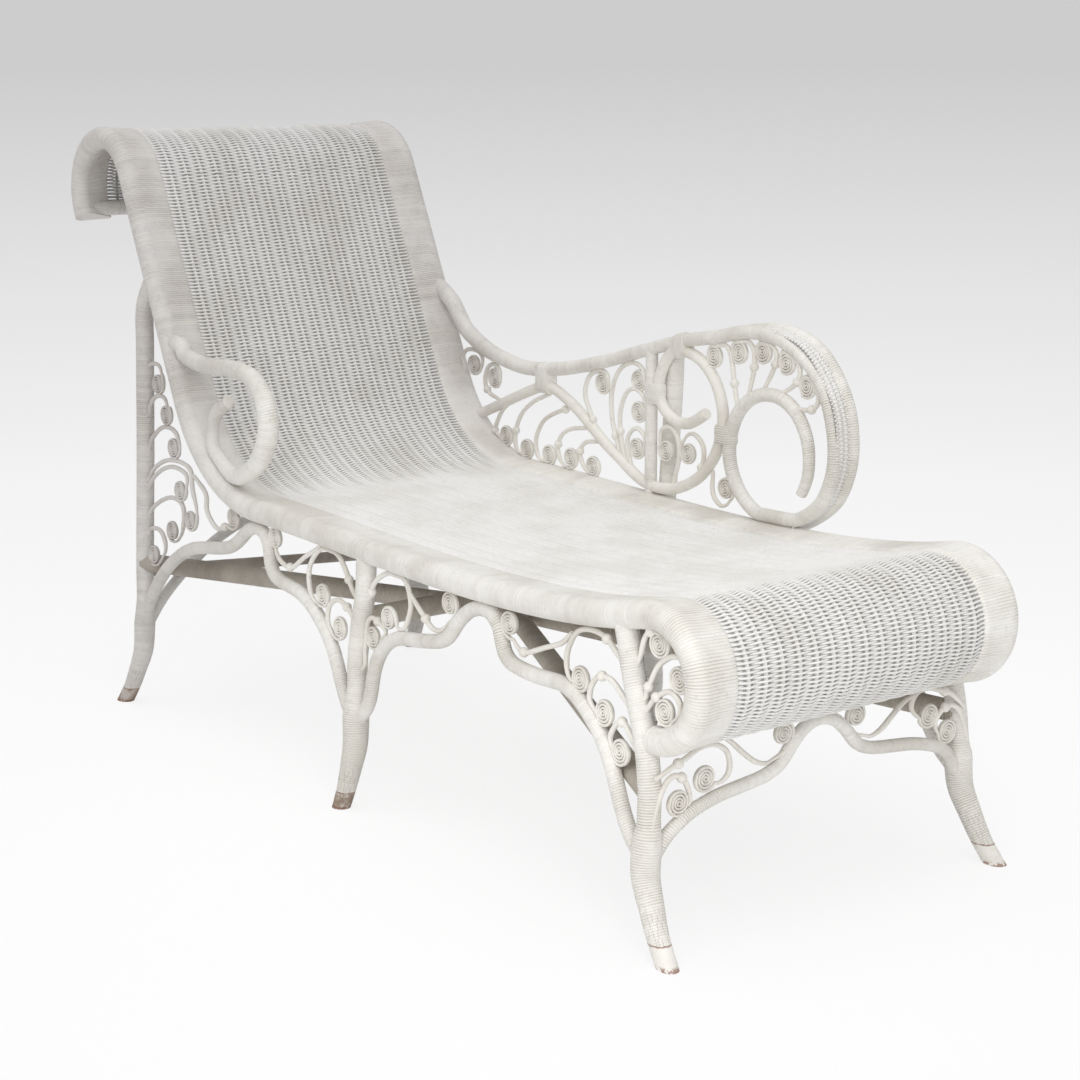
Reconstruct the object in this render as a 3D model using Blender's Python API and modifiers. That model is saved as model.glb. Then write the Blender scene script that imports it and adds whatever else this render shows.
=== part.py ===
# Wicker chaise longue: bent poles wrapped in cane, one woven surface, and coiled reed scrollwork.
# Metres, +X towards the foot roll, +Y towards the long arm, +Z up, floor at z = 0.
import math

import bmesh
import bpy
from mathutils import Vector
from mathutils.geometry import intersect_point_line

# Overall sizes
LENGTH = 1.638
HEIGHT = 0.975
WIDTH = 0.540  # between the centre-lines of the two side rails
SEAT_Z = 0.402  # centre-line of the side rail where the back's bend runs into the seat
FOOT_RISE = 0.047  # top of the rolled foot above that
FIT_GAP = 0.0003  # between pieces that touch
BITE = 0.001  # how deep a pole that lies on another is let into it
PATH_TOLERANCE = 0.0009  # how far a pole's straight spans stray from its true bend

# Side rails
RAIL_R = 0.0185
CREST_R = 0.092
CREST_TAIL = 208.0  # degrees round the crest where the rail ends
RAKE = 25.0  # degrees of the back from upright
BEND_R = 0.240  # back into seat
SEAT_EASE = 0.285  # how long the seat runs level at its back end
FOOT_EASE = 0.270  # how long it takes to rise at its foot end
ROLL_R = 0.079
ROLL_START = 103.0

# Woven surface
WEAVE_T = 0.008
WEAVE_RISE = 0.010  # the weave's mid-surface above the rails' centre-line
SEAT_START_STEP = 0.0066  # the woven seat begins this far behind the end of the back's bend
SEAT_END_INSET = 0.189  # and ends this far behind the foot roll's front

# Legs
FRONT_LEG_INSET = 0.099  # the front legs stand this far behind the foot roll's front
BACK_LEG_STEP = 0.0761  # and the back legs this far behind the joint with the back rail
CROTCH_Z = 0.145  # where post and arches run together
TOE_SPLAY = 0.027
BACK_KICK = 0.052
FRONT_KICK = 0.058
POST_R = 0.0140
LEG_R = 0.0215
BACK_LEG_R = 0.0180
TOE_R = 0.0135
BACK_JOINT_DROP = 0.265  # where the back post meets the back rail, below the crest's top
POST_GAP = 0.018  # between the back post and the rail just below their joint
MID_LEAN = 0.020  # how far ahead of its toe a middle post stands at the rail
FRONT_LEAN = 0.062  # how far behind the leg a front post stands at the rail
FRONT_POST_LEAN = 0.0165  # the front post's centre behind the leg's, level with the roll's underside

# Arches, aprons and bars
ARCH_R = 0.0105
BAR_R = 0.012
TAIL_BAR_R = 0.0125
STRETCHER_R = 0.0155
BACK_BRACE_Z = 0.250  # the braces' centres at the corner legs
FRONT_BRACE_Z = 0.207
CROSS_STRETCHER_Z = 0.291
BACK_STRETCHER_Z = 0.235  # at the near leg; it slopes down towards the far one
BACK_STRETCHER_DROP = 0.040
BACK_STRETCHER_R = 0.0100
APRON_STEP = 0.011  # the end aprons stand this far outside the legs' centres
BACK_APRON_TOP = 0.305

# Arms
LONG_ARM_R = 0.0135
LONG_ARM_HEIGHT = 0.314
LONG_ARM_END = 0.247  # between the front of its bow and the front legs
OUTER_RAIL_R = 0.010
OUTER_RAIL_STEP = 0.029
ARM_STRIP_T = 0.005
OUTER_POST_STEP = 0.024  # the thick post stands this far outside the long arm's own plane
LOWER_SCROLL_R = 0.0105
ARM_POST_R = 0.0105
ARM_OUTER_POST_R = 0.0145
SHORT_ARM_R = 0.0135
SHORT_ARM_BOW_R = 0.0165
SHORT_ARM_TAIL_R = 0.0105
SHORT_ARM_HEIGHT = 0.246
SHORT_ARM_REACH = 0.316

# Scrollwork
REED_R = 0.0042
REED_TOLERANCE = 0.0020
DISC_R = 0.0135
DISC_T = 0.0096
CURL_STEP = 0.0007  # the scrollwork's plane stands this far outside the poles' own

HALF_WIDTH = WIDTH / 2
FRONT_LEG_X = LENGTH / 2 - FRONT_LEG_INSET
SEAT_END = LENGTH / 2 - SEAT_END_INSET
BACK_JOINT_Z = HEIGHT - BACK_JOINT_DROP
FOOT_HEIGHT = SEAT_Z + FOOT_RISE
CREST_X = -LENGTH / 2 + RAIL_R + CREST_R
CREST_Z = HEIGHT - RAIL_R - CREST_R
ROLL_X = LENGTH / 2 - RAIL_R - ROLL_R
ROLL_Z = FOOT_HEIGHT - RAIL_R - ROLL_R
BEND_Z = SEAT_Z + BEND_R
SIDES = (("near", -1), ("far", 1))


# Plane curves

def on_circle(centre_x, centre_z, radius, degrees):
    angle = math.radians(degrees)
    return Vector((centre_x + radius * math.cos(angle), centre_z + radius * math.sin(angle)))


def arc(centre_x, centre_z, radius, start, end, step):
    count = max(2, math.ceil(abs(end - start) / step))
    return [on_circle(centre_x, centre_z, radius, start + (end - start) * i / count) for i in range(count + 1)]


def smooth(points, spans):
    # a Catmull-Rom curve through the points
    points = [Vector(p) for p in points]
    ends = [2 * points[0] - points[1]] + points + [2 * points[-1] - points[-2]]
    out = []
    for a, b, c, d in zip(ends, ends[1:], ends[2:], ends[3:]):
        for k in range(spans):
            t = k / spans
            bend = (2 * a - 5 * b + 4 * c - d) * t ** 2 + (3 * b - a - 3 * c + d) * t ** 3
            out.append(0.5 * (2 * b + (c - a) * t + bend))
    return out + [points[-1]]


def thinned(points, tolerance):
    # the same curve with the points left out that lie within the tolerance of a straight span
    if len(points) < 3:
        return list(points)
    chord = points[-1] - points[0]
    worst = 0.0
    for i in range(1, len(points) - 1):
        share = (points[i] - points[0]).dot(chord) / max(chord.length_squared, 1e-12)
        off = (points[i] - points[0].lerp(points[-1], max(0.0, min(1.0, share)))).length
        if off > worst:
            worst = off
            corner = i
    if worst <= tolerance:
        return [points[0], points[-1]]
    return thinned(points[:corner + 1], tolerance)[:-1] + thinned(points[corner:], tolerance)


def bezier(a, b, c, d, count):
    out = []
    for i in range(count + 1):
        t = i / count
        s = 1 - t
        out.append(a * s ** 3 + 3 * b * s * s * t + 3 * c * s * t * t + d * t ** 3)
    return out


def trimmed(points, from_start, from_end):
    # the same run with a length taken off each end
    for cut in (from_start, from_end):
        left = cut
        while len(points) > 2 and (points[1] - points[0]).length <= left:
            left -= (points[1] - points[0]).length
            points = points[1:]
        points = [points[0].lerp(points[1], left / (points[1] - points[0]).length)] + points[1:]
        points = points[::-1]
    return points


# The side rail's centre-line in the XZ plane, from the crest's tail to the foot roll's tail

def roll_tail():
    # the rail ends against the front post
    post_face = FRONT_LEG_X - FRONT_POST_LEAN + POST_R + 2 * BITE
    return -math.degrees(math.acos(max(-1.0, min(1.0, (post_face - ROLL_X) / ROLL_R))))


def rail_outline():
    rake = math.radians(RAKE)
    leave = on_circle(CREST_X, CREST_Z, CREST_R, RAKE)
    front = Vector((math.cos(rake), math.sin(rake)))
    bend_x = (leave.dot(front) + BEND_R - BEND_Z * math.sin(rake)) / math.cos(rake)
    crest = arc(CREST_X, CREST_Z, CREST_R, CREST_TAIL, RAKE, 14)
    bend = arc(bend_x, BEND_Z, BEND_R, 180 + RAKE, 270, 9)
    back = [leave.lerp(bend[0], t) for t in (0.25, 0.5, 0.75)]
    roll = arc(ROLL_X, ROLL_Z, ROLL_R, ROLL_START, roll_tail(), 14)
    rise = math.radians(ROLL_START - 90)
    up_to_roll = roll[0] - Vector((math.cos(rise), math.sin(rise))) * FOOT_EASE
    seat = bezier(bend[-1], bend[-1] + Vector((SEAT_EASE, 0)), up_to_roll, roll[0], 12)
    return thinned(crest + back + bend + seat[1:-1] + roll, PATH_TOLERANCE)


RAIL = rail_outline()
RAIL_TOP = max(range(len(RAIL)), key=lambda i: RAIL[i].y)


def along_rail(coordinate, value):
    # the rail's centre where its x (0) or z (1) first passes the value, going down the back and along the seat
    for a, b in zip(RAIL[RAIL_TOP:], RAIL[RAIL_TOP + 1:]):
        low, high = sorted((a[coordinate], b[coordinate]))
        if low <= value <= high and high > low:
            return a.lerp(b, (value - a[coordinate]) / (b[coordinate] - a[coordinate]))
    return RAIL[-1]


def rail_at_height(z):
    return along_rail(1, max(z, SEAT_Z + 2 * BITE))


def rail_at_x(x):
    return along_rail(0, x)


# Where the legs and the arms stand along the rail

SEAT_START = rail_at_height(SEAT_Z).x - SEAT_START_STEP
BACK_LEG_X = rail_at_height(BACK_JOINT_Z).x - BACK_LEG_STEP
MID_LEG_X = (BACK_LEG_X + FRONT_LEG_X) / 2
BAY = FRONT_LEG_X - MID_LEG_X


def kept_off(point, line, reach):
    # what lies against a pole is kept this far from the pole's centre-line
    nearest = None
    for a, b in zip(line, line[1:]):
        foot, t = intersect_point_line(point, a, b)
        foot = a.lerp(b, max(0.0, min(1.0, t)))
        if nearest is None or (point - foot).length < (point - nearest).length:
            nearest = foot
    away = point - nearest
    if away.length >= reach or away.length < 1e-6:
        return point
    return nearest + away.normalized() * reach


def lean(z):
    # the legs and all that stands in their plane spread towards the floor
    return TOE_SPLAY * max(0.0, 1 - z / SEAT_Z) ** 2


def on_side(side, points):
    return [Vector((x, side * (HALF_WIDTH + lean(z)), z)) for x, z in points]


# Legs: the post from the rail down, the crotch, and the toe, which runs past the floor until it is cut flat

def leg_line(post, crotch_x, kick, sway):
    toe = ((0.70, 0.0), (0.45, 0.28), (0.20, 0.62), (0.0, 1.0), (-0.09, 1.2))
    return post + [(crotch_x, CROTCH_Z)] + [(crotch_x + sway + k * kick, v * CROTCH_Z) for v, k in toe]


def leg_lines():
    joint = rail_at_height(BACK_JOINT_Z)
    inside = rail_at_height(BACK_JOINT_Z + 2.1 * POST_R)
    clear = joint.x - RAIL_R - POST_R - POST_GAP
    back = [(inside.x, inside.y), (clear, BACK_JOINT_Z - 1.8 * POST_R),
            (0.75 * clear + 0.25 * BACK_LEG_X, 0.866 * BACK_JOINT_Z),
            (0.25 * clear + 0.75 * BACK_LEG_X, 0.629 * BACK_JOINT_Z), (BACK_LEG_X - 4 * BITE, 0.357 * BACK_JOINT_Z),
            (BACK_LEG_X, 1.30 * CROTCH_Z)]
    mid_top = rail_at_x(MID_LEG_X + MID_LEAN)
    mid = [(mid_top.x, mid_top.y), (MID_LEG_X + 0.75 * MID_LEAN, 0.82 * SEAT_Z),
           (MID_LEG_X + 0.25 * MID_LEAN, 0.71 * SEAT_Z), (MID_LEG_X - 0.1 * MID_LEAN, 0.56 * SEAT_Z),
           (MID_LEG_X, 1.30 * CROTCH_Z)]
    front_top = rail_at_x(FRONT_LEG_X - FRONT_LEAN)
    under_roll = ROLL_Z - ROLL_R
    front = [(front_top.x, front_top.y), (FRONT_LEG_X - 0.87 * FRONT_LEAN, 0.98 * SEAT_Z),
             (FRONT_LEG_X - 0.65 * FRONT_LEAN, 0.85 * SEAT_Z), (FRONT_LEG_X - FRONT_POST_LEAN, under_roll),
             (FRONT_LEG_X - 0.065 * FRONT_LEAN, 0.80 * under_roll), (FRONT_LEG_X, 1.15 * CROTCH_Z)]
    return {
        "back": leg_line(back, BACK_LEG_X, -BACK_KICK, 0.0),
        "mid": leg_line(mid, MID_LEG_X, -0.45 * BACK_KICK, 0.15 * MID_LEAN),
        "front": leg_line(front, FRONT_LEG_X, FRONT_KICK, 0.03 * FRONT_LEAN),
    }


LEGS = leg_lines()


def leg_x(place, z):
    for (xa, za), (xb, zb) in zip(LEGS[place], LEGS[place][1:]):
        if zb <= z <= za:
            return xa + (xb - xa) * (za - z) / (za - zb)
    return LEGS[place][0][0]


# Poles

def span_distance(a, b, p, q):
    # between two straight spans, close enough for telling whether poles touch
    best = 10.0
    for k in range(5):
        for point, s, t in ((a.lerp(b, k / 4), p, q), (p.lerp(q, k / 4), a, b)):
            along = t - s
            share = max(0.0, min(1.0, (point - s).dot(along) / max(along.length_squared, 1e-12)))
            best = min(best, (point - s.lerp(t, share)).length)
    return best


class Pole:
    """One bent pole: its path, its radius at each point, and how finely it is rounded."""

    def __init__(self, name, path, radius, look, roundness=2):
        self.name = name
        whole = [Vector(p) for p in path]
        self.path = thinned(whole, PATH_TOLERANCE)
        self.radii = [radius] * len(self.path)
        if isinstance(radius, list):
            self.radii = [radius[whole.index(point)] for point in self.path]
        self.look = look
        self.roundness = roundness

    def comes_near(self, path, radii):
        # whether a polyline with these radii comes within touching distance
        for a, b, ra in zip(self.path, self.path[1:], self.radii):
            for p, q, rp in zip(path, path[1:], radii):
                reach = ra + rp + 2 * FIT_GAP
                if (a - p).length > reach + (b - a).length + (q - p).length:
                    continue
                if span_distance(a, b, p, q) < reach:
                    return True
        return False


def side_rails():
    return [Pole(f"side_rail_{name}", [(p.x, side * HALF_WIDTH, p.y) for p in RAIL], RAIL_R, "wrap")
            for name, side in SIDES]


def legs():
    made = []
    for place, line in LEGS.items():
        thick = BACK_LEG_R if place == "back" else LEG_R
        foot = [thick, 0.93 * thick, 0.82 * thick, 0.5 * (0.75 * thick + TOE_R), TOE_R, TOE_R]
        radii = [POST_R] * (len(line) - len(foot)) + foot
        for name, side in SIDES:
            made.append(Pole(f"leg_{place}_{name}", on_side(side, line), radii, "wrap"))
    return made


# Ogee arches: fractions of a bay's length, and of the seat's height. Each peak touches the rail above it.

BACK_ARCH = ((0.0, 0.33), (0.018, 0.44), (0.06, 0.54), (0.11, 0.63), (0.18, 0.72), (0.254, 0.78), (0.356, 0.815),
             (0.43, 0.845), (0.479, 0.895), (0.518, 0.95), (0.562, 0.975), (0.598, 0.955), (0.616, 0.90),
             (0.620, 0.84), (0.640, 0.79), (0.682, 0.77), (0.747, 0.755), (0.798, 0.72), (0.856, 0.645),
             (0.90, 0.56), (0.935, 0.46), (0.965, 0.385), (1.0, 0.33))
FRONT_ARCH = ((0.0, 0.33), (0.041, 0.40), (0.056, 0.465), (0.064, 0.54), (0.082, 0.61), (0.113, 0.67), (0.159, 0.71),
              (0.232, 0.73), (0.306, 0.755), (0.343, 0.79), (0.372, 0.85), (0.408, 0.905), (0.45, 0.935),
              (0.491, 0.93), (0.518, 0.885), (0.534, 0.81), (0.567, 0.77), (0.65, 0.76), (0.72, 0.765),
              (0.770, 0.74), (0.82, 0.68), (0.857, 0.615), (0.889, 0.535), (0.918, 0.44), (0.95, 0.36), (0.985, 0.31))


def arch_line(left, shape):
    peak_u, peak_v = max(shape, key=lambda pair: pair[1])
    ceiling = rail_at_x(left + peak_u * BAY).y - RAIL_R - ARCH_R + BITE
    points = []
    for u, v in shape:
        high = max(0.0, (v - 0.6) / (peak_v - 0.6))
        points.append((left + u * BAY, v * SEAT_Z + high * (ceiling - peak_v * SEAT_Z)))
    return smooth(points, 2)


ARCHES = {"back": arch_line(BACK_LEG_X, BACK_ARCH), "front": arch_line(MID_LEG_X, FRONT_ARCH)}


def side_arches():
    return [Pole(f"side_arch_{place}_{name}", on_side(side, points), ARCH_R, "wrap", 1)
            for place, points in ARCHES.items() for name, side in SIDES]


# Bowed aprons at the two ends: fractions of the half width, and of the bow's height

FRONT_APRON = ((0.0, 1.0), (0.10, 0.968), (0.18, 0.889), (0.245, 0.81), (0.36, 0.762), (0.60, 0.73), (0.78, 0.677),
               (0.88, 0.603), (0.95, 0.497), (1.0, 0.392))
BACK_APRON = ((0.0, 1.0), (0.2, 0.985), (0.4, 0.918), (0.6, 0.803), (0.8, 0.64), (0.92, 0.52), (1.0, 0.426))


def tail_angle(end, centre_radius, inward):
    # where the bar between the rails' ends sits on the arc, clear of the rails' end faces
    return end + inward * math.degrees((TAIL_BAR_R + 1.5 * BITE) / centre_radius)


def foot_tail_bar():
    return on_circle(ROLL_X, ROLL_Z, ROLL_R, tail_angle(roll_tail(), ROLL_R, 1))


FRONT_APRON_TOP = foot_tail_bar().y - TAIL_BAR_R - ARCH_R + BITE


def bow_line(top, half):
    # across and up, from the near leg to the far leg
    reach = HALF_WIDTH + lean(half[-1][1] * top)
    whole = [(-s, v) for s, v in reversed(half)] + list(half[1:])
    return [Vector((s * reach, v * top)) for s, v in smooth(whole, 2)]


def end_apron(name, x, outward, top, half):
    line = bow_line(top, half)
    path = []
    for across_y, z in line:
        step = outward * APRON_STEP * min(1.0, 6 * (1 - abs(across_y / line[-1].x)))
        path.append((x + step, across_y, z))
    return Pole(name, path, ARCH_R, "wrap", 1)


def aprons():
    return [end_apron("apron_front", FRONT_LEG_X, 1, FRONT_APRON_TOP, FRONT_APRON),
            end_apron("apron_back", BACK_LEG_X, -1, BACK_APRON_TOP, BACK_APRON)]


def across(name, x, z, radius, look="paint"):
    reach = HALF_WIDTH + lean(z)
    return Pole(name, [(x, -reach, z), (x, 0, z), (x, reach, z)], radius, look, 1)


def bars():
    crest_tail = on_circle(CREST_X, CREST_Z, CREST_R, tail_angle(CREST_TAIL, CREST_R, -1))
    foot_tail = foot_tail_bar()
    made = [across("crest_tail_bar", crest_tail.x, crest_tail.y, TAIL_BAR_R, "wrap"),
            across("foot_roll_tail_bar", foot_tail.x, foot_tail.y, TAIL_BAR_R, "wrap")]
    under = WEAVE_RISE - WEAVE_T / 2 - BAR_R - 1.5 * FIT_GAP
    for name, x in (("seat_bar_back", SEAT_START + 1.7 * BAR_R), ("seat_bar_mid", MID_LEG_X + 2.5 * MID_LEAN),
                    ("seat_bar_front", SEAT_END - 1.25 * BAR_R)):
        made.append(across(name, x, rail_at_x(x).y + under, BAR_R))
    return made


def stretchers():
    # two cross stretchers, and four braces that meet under the middle one
    mid_x = leg_x("mid", CROSS_STRETCHER_Z)
    near_z = BACK_STRETCHER_Z
    far_z = BACK_STRETCHER_Z - BACK_STRETCHER_DROP
    ends = on_side(-1, [(leg_x("back", near_z), near_z)]) + on_side(1, [(leg_x("back", far_z), far_z)])
    made = [across("stretcher_mid", mid_x, CROSS_STRETCHER_Z, STRETCHER_R, "shade")]
    meeting = Vector((mid_x, 0, CROSS_STRETCHER_Z - 2 * STRETCHER_R + BITE))
    for place, z in (("back", BACK_BRACE_Z), ("front", FRONT_BRACE_Z)):
        for name, side in SIDES:
            corner = on_side(side, [(leg_x(place, z), z)])[0]
            end = meeting + (corner - meeting).normalized() * 0.6 * STRETCHER_R
            made.append(Pole(f"brace_{place}_{name}", [corner, end], STRETCHER_R, "shade", 1))
    return made + [Pole("stretcher_back", ends, BACK_STRETCHER_R, "shade", 1)]


# The long arm: fractions of its reach, and of its height above the seat

ARM_TOP = ((-0.030, 0.975), (0.024, 0.879), (0.062, 0.748), (0.125, 0.65), (0.187, 0.605), (0.249, 0.586),
           (0.337, 0.615), (0.444, 0.688), (0.545, 0.78), (0.64, 0.86), (0.723, 0.908), (0.77, 0.943),
           (0.819, 0.952), (0.867, 0.927), (0.913, 0.854), (0.948, 0.739), (0.970, 0.56), (0.973, 0.385),
           (0.953, 0.223), (0.916, 0.127), (0.877, 0.085), (0.837, 0.076), (0.798, 0.118), (0.768, 0.205),
           (0.752, 0.32), (0.752, 0.42), (0.762, 0.52), (0.783, 0.605), (0.817, 0.662), (0.858, 0.665),
           (0.892, 0.611), (0.914, 0.516), (0.922, 0.417), (0.920, 0.312), (0.908, 0.229))
ARM_OUTER = ((0.738, 0.917), (0.780, 0.952), (0.823, 0.964), (0.860, 0.955), (0.897, 0.92), (0.925, 0.86),
             (0.951, 0.765), (0.971, 0.65), (0.980, 0.52), (0.978, 0.38), (0.957, 0.223), (0.918, 0.118), (0.869, 0.035))
ARM_LOWER = ((0.089, 0.262), (0.113, 0.29), (0.166, 0.357), (0.238, 0.449), (0.294, 0.505),
             (0.335, 0.481), (0.388, 0.401), (0.44, 0.293), (0.492, 0.204), (0.542, 0.124), (0.592, 0.102),
             (0.64, 0.131), (0.686, 0.21), (0.718, 0.325), (0.733, 0.452), (0.734, 0.561), (0.718, 0.682),
             (0.69, 0.768), (0.659, 0.806), (0.624, 0.815), (0.598, 0.736), (0.584, 0.618), (0.595, 0.519),
             (0.626, 0.459), (0.661, 0.462), (0.697, 0.525))


# the arm runs from the back rail to a place a little behind the front legs
ARM_START = ARM_TOP[0]
ARM_BOW = max(fx for fx, _ in ARM_TOP)
LONG_ARM_START_X = rail_at_height(SEAT_Z - WEAVE_RISE + ARM_START[1] * LONG_ARM_HEIGHT).x
LONG_ARM_REACH = (FRONT_LEG_X - LONG_ARM_END - LONG_ARM_START_X) / (ARM_BOW - ARM_START[0])
LONG_ARM_BACK = LONG_ARM_START_X - ARM_START[0] * LONG_ARM_REACH


def arm_point(fx, fz):
    return Vector((LONG_ARM_BACK + fx * LONG_ARM_REACH, SEAT_Z - WEAVE_RISE + fz * LONG_ARM_HEIGHT))


def arm_run(pairs, radius):
    # an arm's pole in its own plane; it lies on the rail wherever it comes down to it
    points = smooth([arm_point(fx, fz) for fx, fz in pairs], 2)
    reach = RAIL_R + radius - BITE
    return points[:3] + [kept_off(point, RAIL, reach) for point in points[3:]]


def height_over(points, x):
    for a, b in zip(points, points[1:]):
        if min(a.x, b.x) <= x <= max(a.x, b.x) and a.x != b.x:
            return a.y + (b.y - a.y) * (x - a.x) / (b.x - a.x)
    return points[-1].y


def outer_rail_path():
    # it leaves the top rail, stands clear round the bow, and comes back beside the side rail
    points = smooth([arm_point(fx, fz) for fx, fz in ARM_OUTER], 2)
    at_top = HALF_WIDTH + LONG_ARM_R + OUTER_RAIL_R - BITE / 2
    at_foot = HALF_WIDTH + RAIL_R + OUTER_RAIL_R - BITE / 2
    clear = HALF_WIDTH + OUTER_RAIL_STEP
    path = []
    for i, point in enumerate(points):
        y = clear
        if i < 4:
            y = at_top + (clear - at_top) * i / 4
        if i > len(points) - 5:
            y = clear + (at_foot - clear) * (i - len(points) + 5) / 4
        path.append((point.x, y, point.y))
    return path


def long_arm():
    top = arm_run(ARM_TOP, LONG_ARM_R)
    tail = 10
    top_radii = [LONG_ARM_R] * (len(top) - tail) + [LONG_ARM_R * (1 - 0.025 * i) for i in range(tail)]
    lower = arm_run(ARM_LOWER, LOWER_SCROLL_R)
    post_x = arm_point(0.567, 0).x
    outer_x = arm_point(0.598, 0).x
    outer_foot_x = arm_point(0.583, 0).x
    rail_z = rail_at_x(post_x).y
    top_z = height_over(top, outer_x)
    stand = HALF_WIDTH + OUTER_POST_STEP
    inner_post = [(post_x, HALF_WIDTH, height_over(top, post_x)), (post_x, HALF_WIDTH, 0.5 * (rail_z + top_z)),
                  (post_x, HALF_WIDTH, rail_z)]
    outer_post = [(outer_x, HALF_WIDTH + 0.62 * OUTER_POST_STEP, top_z),
                  (0.8 * outer_x + 0.2 * outer_foot_x, stand, top_z - 0.1 * LONG_ARM_HEIGHT),
                  (outer_foot_x, stand, rail_z + 0.16 * LONG_ARM_HEIGHT),
                  (outer_foot_x, HALF_WIDTH + 0.83 * OUTER_POST_STEP, rail_z)]
    return [
        Pole("arm_long_top_rail", [(p.x, HALF_WIDTH, p.y) for p in top], top_radii, "wrap"),
        Pole("arm_long_outer_rail", outer_rail_path(), OUTER_RAIL_R, "wrap", 1),
        Pole("arm_long_inner_post", inner_post, ARM_POST_R, "wrap", 1),
        Pole("arm_long_outer_post", outer_post, ARM_OUTER_POST_R, "wrap", 1),
        Pole("arm_long_lower_scroll", [(p.x, HALF_WIDTH, p.y) for p in lower], LOWER_SCROLL_R, "paint", 1),
    ]


# The short arm: fractions of its reach, and of its height above the seat rail

SHORT_ARM = ((0.0, 1.03), (0.06, 0.959), (0.196, 0.886), (0.402, 0.85), (0.655, 0.866), (0.829, 0.846), (0.94, 0.764),
             (1.0, 0.63), (0.984, 0.467), (0.899, 0.313), (0.769, 0.207), (0.636, 0.167), (0.538, 0.207),
             (0.453, 0.321), (0.449, 0.455), (0.506, 0.569), (0.623, 0.65))


def short_arm():
    start = rail_at_height(SEAT_Z + SHORT_ARM[0][1] * SHORT_ARM_HEIGHT).x - 3.5 * BITE
    points = [Vector((start + fx * SHORT_ARM_REACH, SEAT_Z + fz * SHORT_ARM_HEIGHT)) for fx, fz in SHORT_ARM]
    points = smooth(points, 2)
    points = points[:3] + [kept_off(point, RAIL, RAIL_R + SHORT_ARM_R - BITE) for point in points[3:]]
    radii = []
    for i in range(len(points)):
        t = i / (len(points) - 1)
        bow = math.exp(-((t - 0.48) / 0.12) ** 2)
        thinner = min(1.0, max(0.0, (t - 0.62) / 0.2))
        radii.append(SHORT_ARM_R + (SHORT_ARM_BOW_R - SHORT_ARM_R) * bow + (SHORT_ARM_TAIL_R - SHORT_ARM_R) * thinner)
    return Pole("arm_short", [(p.x, -HALF_WIDTH, p.y) for p in points], radii, "wrap")


# Scrollwork: each curl is a coil's centre, or None, and the reed that runs from it

BACK_CURLS = (
    ((0.37, 1.40), ((0.49, 1.45), (0.40, 1.48), (0.13, 1.47), (-0.02, 1.43))),
    ((0.48, 1.28), ((0.53, 1.31), (0.47, 1.35), (0.25, 1.34), (0.06, 1.27), (0.0, 1.20))),
    ((0.49, 1.15), ((0.59, 1.15), (0.61, 1.21), (0.48, 1.23), (0.28, 1.21), (0.06, 1.13), (0.0, 1.05))),
    ((0.46, 0.87), ((0.52, 0.91), (0.48, 1.00), (0.63, 1.08), (0.49, 1.10), (0.26, 1.08), (0.06, 1.01), (0.0, 0.90))),
    ((0.36, 0.98), ((0.42, 1.00), (0.53, 1.055), (0.39, 1.07), (0.20, 1.04), (0.05, 0.97), (0.0, 0.87))),
    ((0.28, 0.80), ((0.35, 0.78), (0.39, 0.85), (0.38, 0.92), (0.29, 0.94), (0.19, 0.92), (0.08, 0.87), (0.0, 0.80))),
    ((0.10, 0.67), ((0.19, 0.68), (0.21, 0.73), (0.16, 0.78), (0.07, 0.78), (0.01, 0.74))),
    ((0.869, 0.94), ((0.81, 0.90), (0.71, 0.875), (0.62, 0.93), (0.61, 1.0), (0.64, 1.06))),
)
BAY_CURLS = {
    "back_bay": (
        ((0.643, 0.94), ((0.642, 0.89), (0.659, 0.84), (0.712, 0.82), (0.774, 0.88), (0.839, 0.94), (0.852, 1.0))),
        ((0.850, 0.76), ((0.829, 0.72), (0.799, 0.75), (0.791, 0.83), (0.817, 0.90), (0.860, 0.94), (0.914, 0.93),
                         (0.946, 0.88), (0.972, 0.82), (1.0, 0.78))),
        ((0.923, 0.66), ((0.894, 0.62), (0.872, 0.67), (0.880, 0.73), (0.913, 0.76), (0.946, 0.75), (0.975, 0.72),
                         (1.0, 0.68))),
    ),
    "front_bay": (
        ((0.118, 0.76), ((0.149, 0.74), (0.172, 0.73), (0.194, 0.79), (0.201, 0.85), (0.179, 0.92), (0.129, 0.93),
                         (0.075, 0.89), (0.035, 0.82), (0.010, 0.77))),
        ((0.060, 0.67), ((0.096, 0.67), (0.107, 0.71), (0.083, 0.73), (0.051, 0.74), (0.028, 0.70), (0.025, 0.63),
                         (0.030, 0.56), (0.005, 0.52))),
        ((0.345, 0.89), ((0.352, 0.81), (0.327, 0.785), (0.284, 0.78), (0.254, 0.81), (0.228, 0.84), (0.196, 0.88))),
    ),
    "front_leg": (
        ((0.552, 0.89), ((0.566, 0.84), (0.600, 0.81), (0.667, 0.85), (0.721, 0.885), (0.752, 0.93))),
        ((0.778, 0.78), ((0.754, 0.75), (0.737, 0.82), (0.743, 0.88), (0.770, 0.94), (0.812, 0.96), (0.855, 0.95),
                         (0.891, 0.91), (0.925, 0.87), (0.955, 0.82))),
        ((0.856, 0.71), ((0.833, 0.68), (0.811, 0.73), (0.815, 0.78), (0.839, 0.82), (0.875, 0.82), (0.911, 0.78),
                         (0.945, 0.74), (0.972, 0.69))),
        ((0.905, 0.60), ((0.883, 0.57), (0.875, 0.62), (0.885, 0.67), (0.910, 0.70), (0.935, 0.67), (0.952, 0.635),
                         (0.975, 0.60))),
    ),
}
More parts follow.
